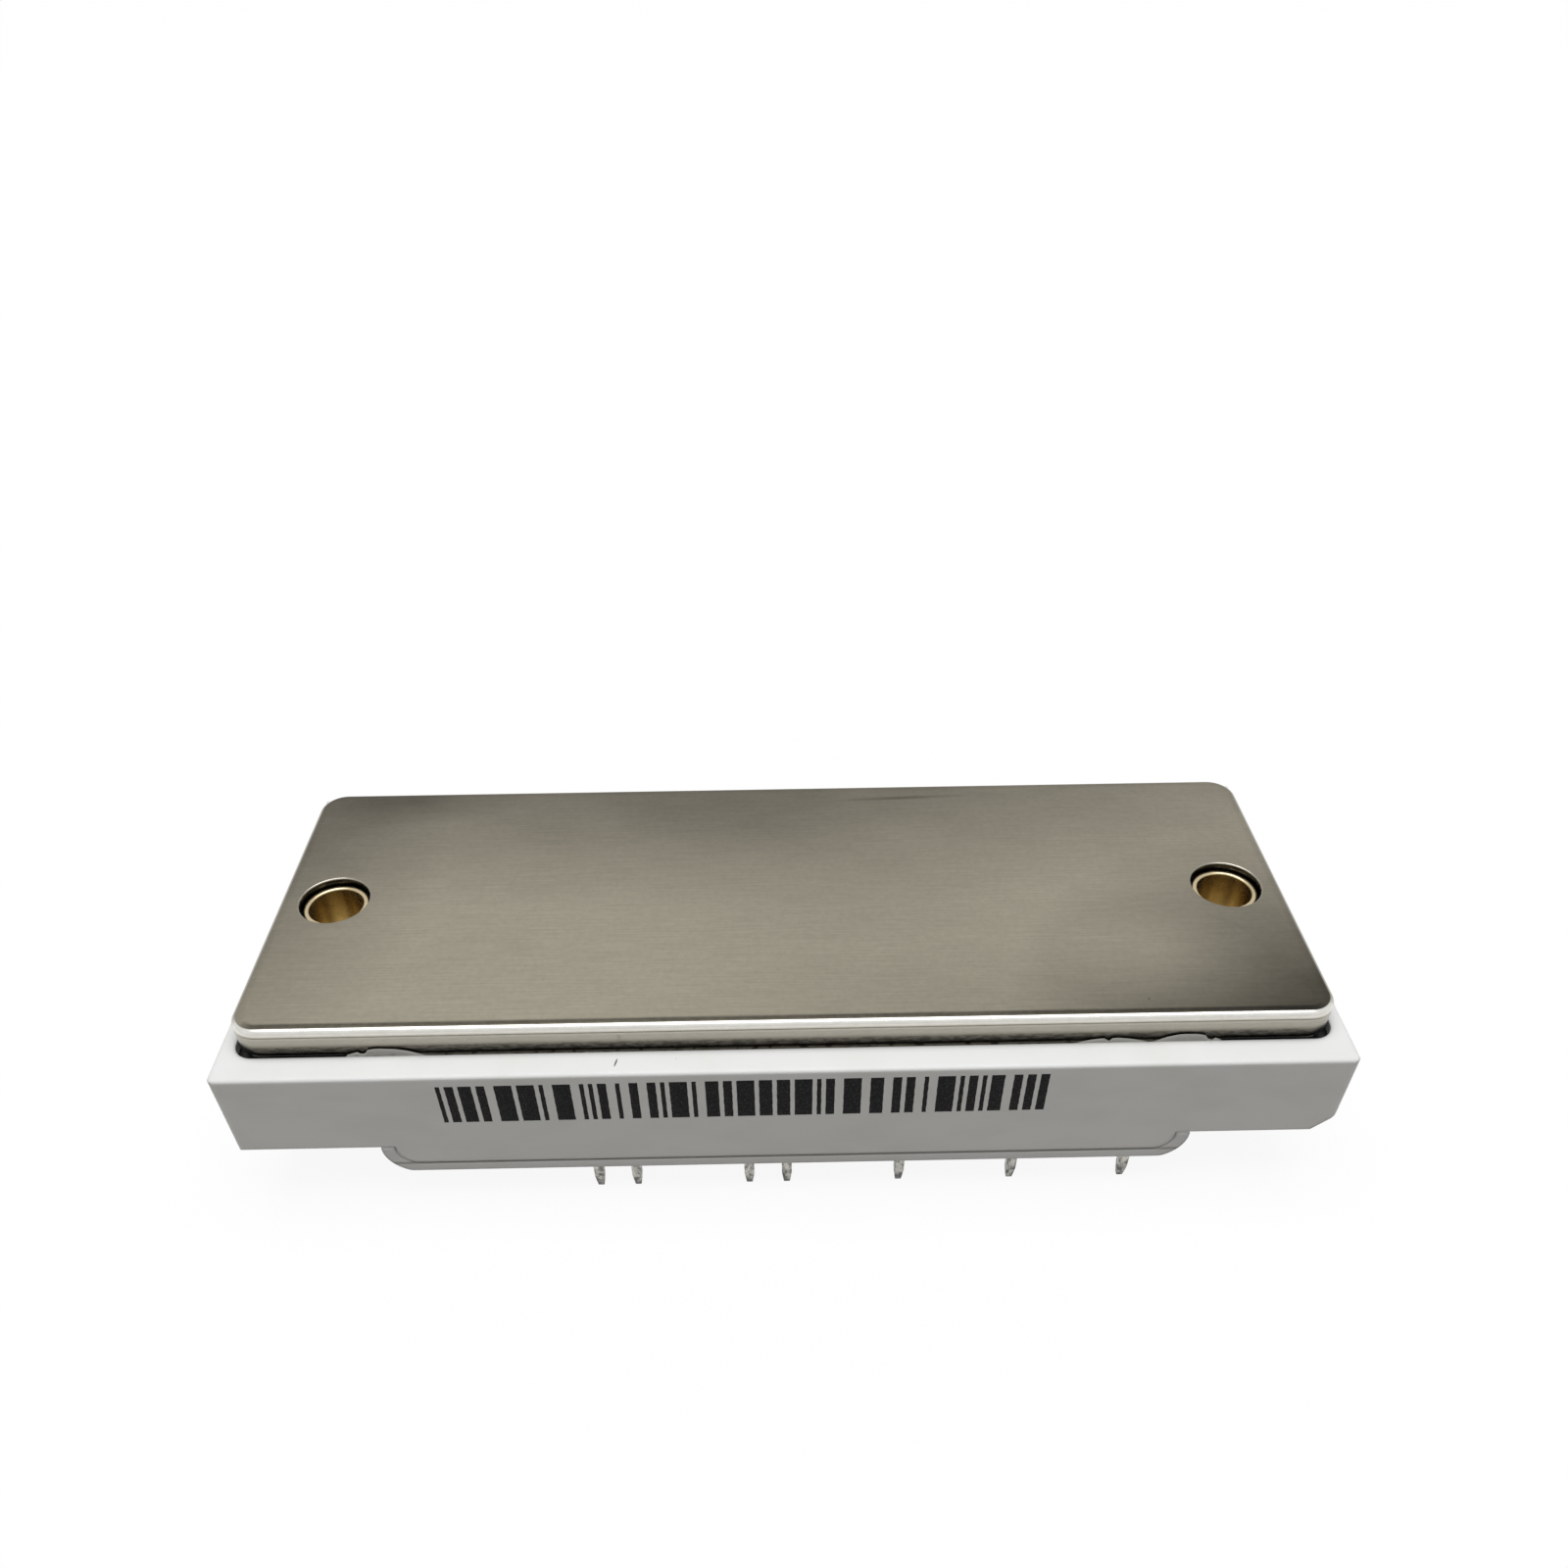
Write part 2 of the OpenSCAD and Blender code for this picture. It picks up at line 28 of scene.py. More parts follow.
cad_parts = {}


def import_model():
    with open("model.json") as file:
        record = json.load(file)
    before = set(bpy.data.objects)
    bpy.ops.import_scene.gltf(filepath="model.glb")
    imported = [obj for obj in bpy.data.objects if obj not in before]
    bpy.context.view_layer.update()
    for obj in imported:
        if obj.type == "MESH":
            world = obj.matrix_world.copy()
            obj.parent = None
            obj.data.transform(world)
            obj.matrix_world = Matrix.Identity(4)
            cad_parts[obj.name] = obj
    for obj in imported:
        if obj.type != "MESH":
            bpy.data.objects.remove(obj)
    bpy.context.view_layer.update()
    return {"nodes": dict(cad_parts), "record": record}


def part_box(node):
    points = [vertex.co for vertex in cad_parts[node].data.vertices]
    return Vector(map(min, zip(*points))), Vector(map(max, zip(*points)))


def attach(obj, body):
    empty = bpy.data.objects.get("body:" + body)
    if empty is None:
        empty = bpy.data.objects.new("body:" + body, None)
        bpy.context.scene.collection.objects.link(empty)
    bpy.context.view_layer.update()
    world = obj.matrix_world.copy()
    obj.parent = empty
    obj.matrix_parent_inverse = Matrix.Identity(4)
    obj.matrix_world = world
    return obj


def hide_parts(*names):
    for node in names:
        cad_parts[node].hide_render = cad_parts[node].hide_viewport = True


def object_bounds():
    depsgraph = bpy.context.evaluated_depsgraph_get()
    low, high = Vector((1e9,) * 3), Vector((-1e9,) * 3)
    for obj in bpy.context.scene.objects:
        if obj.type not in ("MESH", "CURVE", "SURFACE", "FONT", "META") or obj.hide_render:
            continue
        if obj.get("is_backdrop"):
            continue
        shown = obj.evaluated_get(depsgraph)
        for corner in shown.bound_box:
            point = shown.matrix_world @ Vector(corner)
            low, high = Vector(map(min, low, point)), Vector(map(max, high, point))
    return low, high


LOG = logging.getLogger("power_module")
MM = 0.001
MICRON = 1e-6
TURN = 2.0 * math.pi
QUARTER = TURN / 4.0
THROUGH = 1000.0  # a half size in millimetres that takes a blot through the whole module
BODY = "root"

Colour = tuple[float, float, float]


class Slot(Enum):
    """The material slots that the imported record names."""

    NICKEL = "nickel_plate"
    CASE = "case_plastic"
    LID = "lid_plastic"
    BRASS = "bushing_brass"
    GLUE = "silicone_glue"
    GEL = "potting_gel"
    SOLDER = "solder"
    COPPER = "substrate_copper"
    ALUMINA = "alumina"
    THERMISTOR = "thermistor_body"
    SILICON = "silicon"
    WIRE = "bond_aluminium"
    TIN = "tinned_pin"


# ------------------------------------------------------------ grids and skins


@dataclass
class Grid:
    """Points in rows and columns that a skin of four-sided faces joins.

    Attributes:
        points: The points, as rows by columns by 3.
        closed_rows: Whether the last row joins the first.
        closed_columns: Whether the last column joins the first.
        marks: Named values for the points, in a shape that fits rows by columns.
    """

    points: np.ndarray
    closed_rows: bool = False
    closed_columns: bool = False
    marks: dict[str, np.ndarray] = field(default_factory=dict)

    def quads(self) -> np.ndarray:
        """Gives the corner numbers of every face, four to a row."""
        rows, columns = self.points.shape[:2]
        index = np.arange(rows * columns).reshape(rows, columns)
        if self.closed_rows:
            index = np.vstack([index, index[:1]])
        if self.closed_columns:
            index = np.hstack([index, index[:, :1]])
        corners = (index[:-1, :-1], index[1:, :-1], index[1:, 1:], index[:-1, 1:])
        return np.stack(corners, axis=-1).reshape(-1, 4)

    def marked(self, mark: str) -> np.ndarray:
        """Gives a mark's value at every point, or zeros without that mark."""
        return np.broadcast_to(self.marks.get(mark, 0.0), self.points.shape[:2]).ravel()

    def mirrored(self) -> Grid:
        """Gives the same grid reflected in the plane across X."""
        points = self.points * np.array([-1.0, 1.0, 1.0])
        return Grid(points, self.closed_rows, self.closed_columns, self.marks)


def make_skin(
    name: str, grids: Sequence[Grid], node: str = "", sharp_deg: float = 40.0
) -> bpy.types.Object:
    """Makes one object from grids, with the points that meet welded.

    Args:
        name: The object's name.
        grids: The grids that make up its surface.
        node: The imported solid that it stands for, if any.
        sharp_deg: Edges that turn by more than this angle stay sharp.

    Returns:
        The new object, with its faces pointing outwards.
    """
    starts = np.cumsum([0] + [grid.points[..., 0].size for grid in grids])
    points = np.concatenate([grid.points.reshape(-1, 3) for grid in grids])
    quads = np.concatenate([grid.quads() + start for grid, start in zip(grids, starts)])
    mesh = bpy.data.meshes.new(name)
    mesh.from_pydata(points, [], quads)
    for mark in sorted({key for grid in grids for key in grid.marks}):
        values = np.concatenate([grid.marked(mark) for grid in grids])
        layer = mesh.attributes.new(mark, "FLOAT", "POINT")
        layer.data.foreach_set("value", values.astype(np.float32))
    work = bmesh.new()
    work.from_mesh(mesh)
    bmesh.ops.remove_doubles(work, verts=work.verts, dist=0.5 * MICRON)
    bmesh.ops.dissolve_degenerate(work, edges=work.edges, dist=0.1 * MICRON)
    bmesh.ops.recalc_face_normals(work, faces=work.faces)
    work.to_mesh(mesh)
    work.free()
    mesh.shade_smooth()
    mesh.set_sharp_from_angle(angle=math.radians(sharp_deg))
    made = bpy.data.objects.new(name, mesh)
    bpy.context.scene.collection.objects.link(made)
    if node:
        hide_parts(node)
    return made


def ripple(along: np.ndarray, period: float, waves: Sequence[int], seed: int) -> np.ndarray:
    """Gives a gentle unevenness that closes on itself.

    The value is a sum of sines with whole numbers of waves in the period. Each
    sine has a random phase, and the sum stays within about -1 and 1.

    Args:
        along: Distances along the path.
        period: Distance after which the unevenness repeats.
        waves: Number of waves in the period, one for each sine.
        seed: Seed of the random phases.

    Returns:
        One value for each distance.
    """
    phases = np.random.default_rng(seed).uniform(0.0, TURN, len(waves))
    turns = np.asarray(along)[..., None] * np.asarray(waves) * TURN / period
    return np.sin(turns + phases).sum(axis=-1) / math.sqrt(2.0 * len(waves))


def rounded_path(
    corners: Sequence[Sequence[float]], radii: Sequence[float], steps: int
) -> np.ndarray:
    """Walks round a closed polygon with an arc in place of each corner.

    At a corner with a turn of t, the arc starts and ends radius * tan(t / 2)
    away from it. Its points come from turning the first edge's normal evenly
    through t about the arc's centre.

    Args:
        corners: The polygon's corners in order, two numbers each.
        radii: The arc's radius at each corner, above zero.
        steps: Number of pieces in each arc.

    Returns:
        The points of the path, two numbers each.
    """
    at = np.asarray(corners, float)
    into = at - np.roll(at, 1, axis=0)
    into /= np.linalg.norm(into, axis=1, keepdims=True)
    out = np.roll(into, -1, axis=0)
    cross = into[:, 0] * out[:, 1] - into[:, 1] * out[:, 0]
    turn = np.arctan2(cross, (into * out).sum(axis=1))
    side = np.sign(turn)[:, None] * np.stack([-into[:, 1], into[:, 0]], axis=1)
    radius = np.asarray(radii, float)
    start = at - into * (radius * np.tan(np.abs(turn) / 2.0))[:, None]
    centre = start + side * radius[:, None]
    angle = turn[:, None] * np.linspace(0.0, 1.0, steps + 1)[None, :]
    arm = start - centre
    x = arm[:, :1] * np.cos(angle) - arm[:, 1:] * np.sin(angle)
    y = arm[:, :1] * np.sin(angle) + arm[:, 1:] * np.cos(angle)
    return (centre[:, None, :] + np.stack([x, y], axis=-1)).reshape(-1, 2)


@dataclass(frozen=True)
class Outline:
    """A rounded rectangle seen from above, walked once from its front middle.

    Attributes:
        length: Size along X.
        width: Size along Y.
        radius: Radius of the corners.
        spacing: Distance between the points of the straight stretches.
        arc_steps: Number of pieces in each corner's arc.
    """

    length: float
    width: float
    radius: float
    spacing: float = 1.0 * MM
    arc_steps: int = 12

    def walk(self) -> tuple[np.ndarray, np.ndarray, np.ndarray]:
        """Works out the points on the outline.

        A point is its anchor plus its outward direction times the radius. The
        anchors lie on the straight-sided core rectangle. A quarter runs from
        the front middle to the right middle, and the other quarters are that
        one reflected, so that points lie on both axes.

        Returns:
            The anchors, the outward directions and the distances walked.
        """
        core = np.array([self.length, self.width]) / 2.0 - self.radius
        front = np.linspace(0.0, core[0], max(2, round(core[0] / self.spacing)))[:-1]
        end = np.linspace(-core[1], 0.0, max(2, round(core[1] / self.spacing)))[1:]
        angle = np.linspace(-QUARTER, 0.0, self.arc_steps + 1)
        normals = np.concatenate([
            np.tile([0.0, -1.0], (len(front), 1)),
            np.stack([np.cos(angle), np.sin(angle)], axis=1),
            np.tile([1.0, 0.0], (len(end), 1)),
        ])
        anchors = np.concatenate([
            np.stack([front, np.full(len(front), -core[1])], axis=1),
            np.tile([core[0], -core[1]], (len(angle), 1)),
            np.stack([np.full(len(end), core[0]), end], axis=1),
        ])
        for flip in (np.array([1.0, -1.0]), np.array([-1.0, 1.0])):
            anchors = np.concatenate([anchors, (anchors * flip)[::-1][1:]])
            normals = np.concatenate([normals, (normals * flip)[::-1][1:]])
        anchors, normals = anchors[:-1], normals[:-1]
        steps = np.linalg.norm(np.diff(anchors + normals * self.radius, axis=0), axis=1)
        return anchors, normals, np.concatenate([[0.0], np.cumsum(steps)])

    def sweep(self, inset: np.ndarray, height: np.ndarray) -> np.ndarray:
        """Carries a cross-section along the outline.

        At an inset of i the radius shrinks to r - i, but not below zero, and
        the anchors are held within the core of a rectangle that is i smaller
        all round, so that an inset past the radius ends in a square corner.

        Args:
            inset: Distances inside the outline, one row for each outline point
                or one row for all.
            height: Heights in the same form.

        Returns:
            Points, as outline points by section points by 3.
        """
        anchors, normals, _ = self.walk()
        shape = (len(anchors), np.atleast_2d(inset).shape[1])
        inset = np.broadcast_to(inset, shape)[..., None]
        height = np.broadcast_to(height, shape)[..., None]
        core = np.array([self.length, self.width]) / 2.0 - np.maximum(self.radius, inset)
        flat = np.clip(anchors[:, None, :], -core, core)
        flat = flat + normals[:, None, :] * np.maximum(self.radius - inset, 0.0)
        return np.concatenate([flat, height], axis=-1)


def lathe(centre: Sequence[float], section: np.ndarray, angles: np.ndarray) -> np.ndarray:
    """Turns a section of radius and height round an upright axis.

    Args:
        centre: The axis's place, X and Y.
        section: Radius and height of each section point.
        angles: The angles at which the section is placed.

    Returns:
        Points, as angles by section points by 3.
    """
    radius, height = section[:, 0], section[:, 1]
    x = centre[0] + np.cos(angles)[:, None] * radius[None, :]
    y = centre[1] + np.sin(angles)[:, None] * radius[None, :]
    return np.stack([x, y, np.broadcast_to(height, x.shape)], axis=-1)


# ------------------------------------------------------------------ materials


def rgba(colour: Any) -> Any:
    """Adds full opacity to a plain colour and leaves a node's output as it is."""
    return (*colour, 1.0) if isinstance(colour, tuple) else colour


class Recipe:
    """A node tree, with short calls that add and join nodes.

    Sizes and places in its calls are in millimetres.
    """

    def __init__(self, name: str, world: bool = False) -> None:
        """Starts an empty material, or an empty world."""
        self.made = (bpy.data.worlds if world else bpy.data.materials).new(name)
        self.made.use_nodes = True
        self.tree = self.made.node_tree
        self.tree.nodes.clear()
        self.end = self.node("ShaderNodeOutputWorld" if world else "ShaderNodeOutputMaterial")

    @cached_property
    def place(self) -> Any:
        """The object's own coordinates."""
        return self.node("ShaderNodeTexCoord").outputs["Object"]

    def node(
        self, kind: str, inputs: dict[Any, Any] | None = None, **settings: Any
    ) -> bpy.types.Node:
        """Adds a node with values or other nodes' outputs for its sockets, and settings."""
        made = self.tree.nodes.new(kind)
        for key, value in settings.items():
            setattr(made, key, value)
        for key, value in (inputs or {}).items():
            if isinstance(value, bpy.types.NodeSocket):
                self.tree.links.new(value, made.inputs[key])
            else:
                made.inputs[key].default_value = value
        return made

    def mapped(self, size: Any, centre: Any = 0.0, turn: float = 0.0) -> Any:
        """Gives coordinates centred on a place and counted in steps of a size.

        Args:
            size: Length of one step, or three of them for X, Y and Z.
            centre: The place that becomes the origin.
            turn: Turn about Z, in radians.

        Returns:
            The output with the coordinates.
        """
        inputs = {
            "Vector": self.place,
            "Location": tuple(np.broadcast_to(centre, 3) * MM),
            "Rotation": (0.0, 0.0, turn),
            "Scale": tuple(np.broadcast_to(size, 3) * MM),
        }
        return self.node("ShaderNodeMapping", inputs, vector_type="TEXTURE").outputs[0]

    def noise(
        self, size: Any, detail: float = 2.0, roughness: float = 0.5, shift: float = 0.0
    ) -> Any:
        """Gives soft noise from 0 to 1 with the given grain size."""
        inputs = {"Vector": self.mapped(size, shift), "Scale": 1.0}
        inputs.update(Detail=detail, Roughness=roughness)
        return self.node("ShaderNodeTexNoise", inputs).outputs[0]

    def specks(self, cell: float, reach: float) -> Any:
        """Gives small round dots, one in each random cell, that reach a share of it."""
        inputs = {"Vector": self.mapped(cell), "Scale": 1.0}
        found = self.node("ShaderNodeTexVoronoi", inputs, feature="F1").outputs["Distance"]
        return self.remap(found, reach, reach * 0.4)

    def spot(self, centre: Sequence[float], half: Any, turn: float = 0.0) -> Any:
        """Gives an oval blot: 1 at its centre, falling to 0 at its half sizes."""
        inputs = {"Vector": self.mapped(half, centre, turn)}
        blot = self.node("ShaderNodeTexGradient", inputs, gradient_type="SPHERICAL")
        return blot.outputs["Fac"]

    def remap(
        self, value: Any, low: float, high: float, to_low: float = 0.0, to_high: float = 1.0
    ) -> Any:
        """Maps a value from one range to another, held within it."""
        inputs = {"Value": value, "From Min": low, "From Max": high}
        inputs.update({"To Min": to_low, "To Max": to_high})
        return self.node("ShaderNodeMapRange", inputs, clamp=True).outputs[0]

    def spread(self, noise: Any, to_low: float, to_high: float) -> Any:
        """Maps the range that most of a noise lies in to another range."""
        return self.remap(noise, 0.3, 0.7, to_low, to_high)

    def maths(self, operation: str, *values: Any) -> Any:
        """Gives the result of one arithmetic step."""
        inputs = dict(enumerate(values))
        return self.node("ShaderNodeMath", inputs, operation=operation).outputs[0]

    def times(self, first: Any, second: Any) -> Any:
        """Multiplies two values."""
        return self.maths("MULTIPLY", first, second)

    def plus(self, first: Any, second: Any, share: float = 1.0) -> Any:
        """Adds a share of a second value to a first one."""
        return self.maths("MULTIPLY_ADD", second, share, first)

    def blend(self, share: Any, first: Any, second: Any) -> Any:
        """Blends two colours by a share from 0 to 1."""
        inputs = {"Factor": share, 6: rgba(first), 7: rgba(second)}
        return self.node("ShaderNodeMix", inputs, data_type="RGBA").outputs[2]

    def scaled(self, colour: Any, factor: Any) -> Any:
        """Gives a colour made brighter or darker by a factor."""
        inputs = {0: colour, "Scale": factor}
        return self.node("ShaderNodeVectorMath", inputs, operation="SCALE").outputs[0]

    def mark(self, name: str) -> Any:
        """Gives a value that the mesh carries at its points."""
        return self.node("ShaderNodeAttribute", attribute_name=name).outputs["Fac"]

    def seen(self, mirrored: float = 1.0) -> Any:
        """Gives 1 to the camera's own rays and a share to mirrored and passed ones."""
        rays = self.node("ShaderNodeLightPath").outputs
        total = self.plus(rays["Is Camera Ray"], rays["Is Glossy Ray"], mirrored)
        return self.plus(total, rays["Is Transmission Ray"], mirrored)

    def bump(self, height: Any, microns: float, under: Any = None) -> Any:
        """Roughens the surface by a height from 0 to 1 over a depth in microns."""
        inputs = {"Height": height, "Distance": microns * MICRON, "Strength": 1.0}
        if under is not None:
            inputs["Normal"] = under
        return self.node("ShaderNodeBump", inputs).outputs[0]

    def either(self, share: Any, first: Any, second: Any) -> bpy.types.Node:
        """Mixes two shaders by the share of the second."""
        inputs = {0: share, 1: first.outputs[0], 2: second.outputs[0]}
        return self.node("ShaderNodeMixShader", inputs)

    def close(self, shader: bpy.types.Node) -> Any:
        """Joins a shader to the tree's end and gives the material or world."""
        self.tree.links.new(shader.outputs[0], self.end.inputs["Surface"])
        return self.made

    def surface(self, colour: Any, rough: Any, normal: Any, **extra: float) -> bpy.types.Material:
        """Ends the recipe with the main shader, extra sockets named with underscores."""
        inputs = {"Base Color": colour, "Roughness": rough, "Normal": normal}
        inputs.update({key.replace("_", " "): value for key, value in extra.items()})
        return self.close(self.node("ShaderNodeBsdfPrincipled", inputs))


@dataclass(frozen=True)
class NickelPlating:
    """Satin nickel on rolled copper: brushed along X, with stains and painted reflections, and a
    painted highlight on its edges.

    Attributes:
        face: Colour of the clean face.
        stain_and_reflection: Colour where the face is darkest, from tarnished patches and painted
            dark reflections.
        edge: Tint of the tumbled edges where a highlight is painted on them.
        shaded_edge: Tint of the edges where painted shade darkens them.
        blots: Middle, half sizes, turn and strength of each blot, in millimetres and radians. Most
            are tarnished patches together with painted dark reflections, the last but one is a
            painted lighter reflection, and the last is a thin smear.
    """

    face: Colour = (0.354, 0.325, 0.256)
    stain_and_reflection: Colour = (0.072, 0.065, 0.051)
    edge: Colour = (0.93, 0.915, 0.86)
    shaded_edge: Colour = (0.95, 0.885, 0.74)
    blots: tuple[tuple[float, ...], ...] = (
        (-8.0, 24.0, 95.0, 27.0, 0.0, 0.80),
        (56.0, -19.0, 35.0, 29.0, 0.0, 1.12),
        (-56.0, 5.0, 20.0, 40.0, 0.0, 0.55),
        (-41.0, 17.5, 12.0, 5.0, 0.0, 0.30),
        (22.0, -20.0, 45.0, 12.0, 0.0, 0.30),
        (-4.0, 12.0, 18.0, 8.0, 0.0, 0.14),
        (8.0, -4.0, 26.0, 14.0, 0.0, 0.14),
        (37.0, -11.0, 11.0, 7.5, 0.0, -0.28),
        (14.0, 16.6, 8.0, 0.45, 0.04, 0.35),
    )

    def tarnish_and_reflection(self, mix: Recipe, cloud: Any) -> Any:
        """Adds up the clouds, the blots of tarnished patches and painted reflections, and a few
        specks.
        """
        total = mix.spread(cloud, -0.07, 0.07)
        for x, y, half_x, half_y, turn, strength in self.blots:
            blot = mix.spot((x, y, 0.0), (half_x, half_y, THROUGH), turn)
            total = mix.plus(total, blot, strength)
        return mix.remap(mix.plus(total, mix.specks(8.0, 0.022), 0.25), 0.0, 1.0)

    def build(self) -> bpy.types.Material:
        """Mixes clean nickel, nickel with painted reflections and edge nickel with painted light,
        with fine lines along X.
        """
        mix = Recipe("nickel_plating")
        # The bright mark is painted light: a highlight on the roll and the hole bevels, shade down
        # the sides and hole walls.
        edge, bright = mix.mark("edge"), mix.mark("bright")
        cloud = mix.noise((11.0, 6.0, 6.0), detail=4.0, roughness=0.6)
        lines = mix.noise((7.0, 0.2, 1.0), detail=3.0, roughness=0.6)
        grain = mix.noise(0.6, detail=3.0, roughness=0.65, shift=20.0)
        chips = mix.noise((1.1, 1.1, 0.3), roughness=0.6, shift=50.0)
        texture = mix.plus(mix.spread(lines, 0.93, 1.07), mix.spread(grain, -0.05, 0.05))
        # The rim mark darkens the face's outermost strip as a painted dark reflection beside the
        # roll.
        texture = mix.plus(texture, mix.mark("rim"), -0.68)
        # The blots paint tarnished patches and dark and light reflections into the face colour.
        face = mix.blend(self.tarnish_and_reflection(mix, cloud), self.face, self.stain_and_reflection)
        low = mix.remap(bright, 0.05, 0.3, 0.6, 0.0)
        pits = mix.times(low, mix.remap(chips, 0.47, 0.53, 1.0, 0.0))
        # worn is the edge's painted highlight and shade, broken up by a little wear.
        worn = mix.times(bright, mix.spread(chips, 0.94, 1.04))
        worn = mix.times(worn, mix.plus(1.0, pits, -1.0))
        tint = mix.blend(mix.remap(bright, 0.3, 0.9), self.shaded_edge, self.edge)
        return mix.surface(
            mix.blend(edge, mix.scaled(face, texture), mix.scaled(tint, worn)),
            mix.plus(mix.spread(cloud, 0.33, 0.41), edge, -0.12),
            mix.bump(grain, 1.5, mix.bump(lines, 1.0)),
            Metallic=1.0,
        )


@dataclass(frozen=True)
class WhitePlastic:
    """Moulded white case plastic with a fine spark-eroded skin.

    Attributes:
        name: Name of the material.
        colour: Colour of the plastic.
        nicked: Whether the case's one dark nick is on it.
        dusty: Share of each channel that is left under dust.
        seam: Height of the seam between case and lid, in millimetres, darkened there by grime and
            painted shade.
        softness: Radius by which its moulded edges look rounded.
    """

    name: str
    colour: Colour = (0.925, 0.93, 0.922)
    nicked: bool = False
    dusty: Colour = (0.965, 0.96, 0.945)
    seam: float = -15.42
    softness: float = 0.55 * MM

    def build(self) -> bpy.types.Material:
        """Mixes the plastic with faint dust and specks, and grime and painted shade along the seam.
        """
        mix = Recipe(self.name)
        dust = mix.noise((6.0, 6.0, 3.0), detail=4.0)
        grey = tuple(value * share for value, share in zip(self.colour, self.dusty))
        colour = mix.blend(mix.remap(dust, 0.45, 0.75), self.colour, grey)
        colour = mix.blend(mix.times(mix.specks(7.0, 0.012), 0.6), colour, (0.25, 0.24, 0.22))
        if self.nicked:
            nick = mix.spot((-15.9, -20.95, -3.1), (0.6, 0.1, 0.2), 1.36)
            colour = mix.blend(mix.remap(nick, 0.0, 0.35, 0.0, 0.92), colour, (0.05, 0.05, 0.05))
        height = mix.node("ShaderNodeSeparateXYZ", {0: mix.place}).outputs["Z"]
        off = mix.maths("ABSOLUTE", mix.plus(height, -self.seam * MM))
        # A dark band along the seam is grime and painted shade in the gap between case and lid.
        dirt = mix.remap(off, 0.1 * MM, 0.24 * MM, 0.62, 0.0)
        soft = mix.node("ShaderNodeBevel", {"Radius": self.softness}, samples=6).outputs[0]
        return mix.surface(
            mix.blend(dirt, colour, (0.19, 0.18, 0.13)),
            mix.spread(dust, 0.40, 0.52),
            mix.bump(mix.noise(0.11), 3.0, soft),
        )


@dataclass(frozen=True)
class TurnedBrass:
    """Turned brass, bright at its rims, with darker streaks down its bore that are painted
    reflection bands in a brown tone.

    Attributes:
        bright: Colour of the clean rims.
        bore: Colour of the lighter streaks in the bore.
        browned: Colour of the darker streaks, painted reflection bands.
    """

    bright: Colour = (0.68, 0.56, 0.36)
    bore: Colour = (0.70, 0.59, 0.36)
    browned: Colour = (0.36, 0.27, 0.14)

    def build(self) -> bpy.types.Material:
        """Mixes rim brass and bore brass, whose streaks are painted reflection bands, by the mesh's
        marks and soft noise.
        """
        mix = Recipe("turned_brass")
        cloud = mix.noise(1.4, detail=3.0)
        brown = mix.plus(mix.mark("browned"), mix.spread(cloud, -0.12, 0.12))
        inside = mix.blend(mix.remap(brown, 0.0, 1.0), self.bore, self.browned)
        colour = mix.blend(mix.mark("bore"), self.bright, inside)
        rough = mix.spread(cloud, 0.20, 0.30)
        return mix.surface(colour, rough, mix.bump(cloud, 0.5), Metallic=1.0)


@dataclass(frozen=True)
class TinnedCopper:
    """Dip-tinned copper, blotched by flux and handling, and dull at the tip.

    Attributes:
        bright: Colour of clean tin.
        dull: Colour of the dark blotches.
    """

    bright: Colour = (0.60, 0.585, 0.52)
    dull: Colour = (0.10, 0.10, 0.10)

    def build(self) -> bpy.types.Material:
        """Mixes clean and dark tin by small noise, with more dark near the tip."""
        mix = Recipe("tinned_copper")
        blotch = mix.noise((0.45, 0.45, 0.7), detail=4.0, roughness=0.65)
        dark = mix.plus(mix.remap(blotch, 0.40, 0.62, 0.05, 0.75), mix.mark("tip"), 0.6)
        colour = mix.blend(mix.remap(dark, 0.0, 1.0), self.bright, self.dull)
        marks = mix.bump(mix.noise((0.1, 0.1, 1.5)), 2.0)
        return mix.surface(colour, mix.spread(blotch, 0.28, 0.48), marks, Metallic=1.0)


@dataclass(frozen=True)
class SiliconeGlue:
    """Pale grey silicone with a smooth skin, darkened along the plate by grime and painted shade.

    Attributes:
        colour: Colour of the clean glue.
        dirt: Colour of the grime and painted shade along the plate.
        black: Colour of the specks in it, and of the glue low in the bare gap, where black is
            painted shade.
    """

    colour: Colour = (0.40, 0.395, 0.365)
    dirt: Colour = (0.19, 0.168, 0.122)
    black: Colour = (0.008, 0.007, 0.006)

    def build(self) -> bpy.types.Material:
        """Mixes glue with grime and painted shade by the mesh's mark for them, broken up by noise.
        """
        mix = Recipe("silicone_glue")
        cloud = mix.noise(0.9, detail=3.0)
        holes = mix.noise((1.2, 1.2, 0.35), roughness=0.6, shift=30.0)
        share = mix.times(mix.mark("dirt"), mix.remap(cloud, 0.3, 0.6, 1.0, 0.75))
        specks = mix.times(share, mix.remap(holes, 0.55, 0.6, 0.0, 0.9))
        # The glue in the bare gap is painted black as shade; the black specks are grime.
        black = mix.maths("MAXIMUM", mix.mark("bare"), specks)
        colour = mix.blend(black, mix.blend(share, self.colour, self.dirt), self.black)
        return mix.surface(colour, mix.spread(cloud, 0.28, 0.42), mix.bump(cloud, 12.0))


@dataclass(frozen=True)
class PrintInk:
    """Dark pad-printed ink, thin enough for the plastic to speckle it.

    Attributes:
        full: Colour of the full ink.
        thin: Colour where it is worn thin.
    """

    full: Colour = (0.012, 0.012, 0.013)
    thin: Colour = (0.085, 0.085, 0.09)

    def build(self) -> bpy.types.Material:
        """Mixes the ink with small worn spots."""
        mix = Recipe("print_ink")
        worn = mix.noise(0.16, detail=3.0, roughness=0.7)
        colour = mix.blend(mix.remap(worn, 0.5, 0.72), self.full, self.thin)
        return mix.surface(colour, 0.7, mix.bump(worn, 3.0), Specular_IOR_Level=0.12)


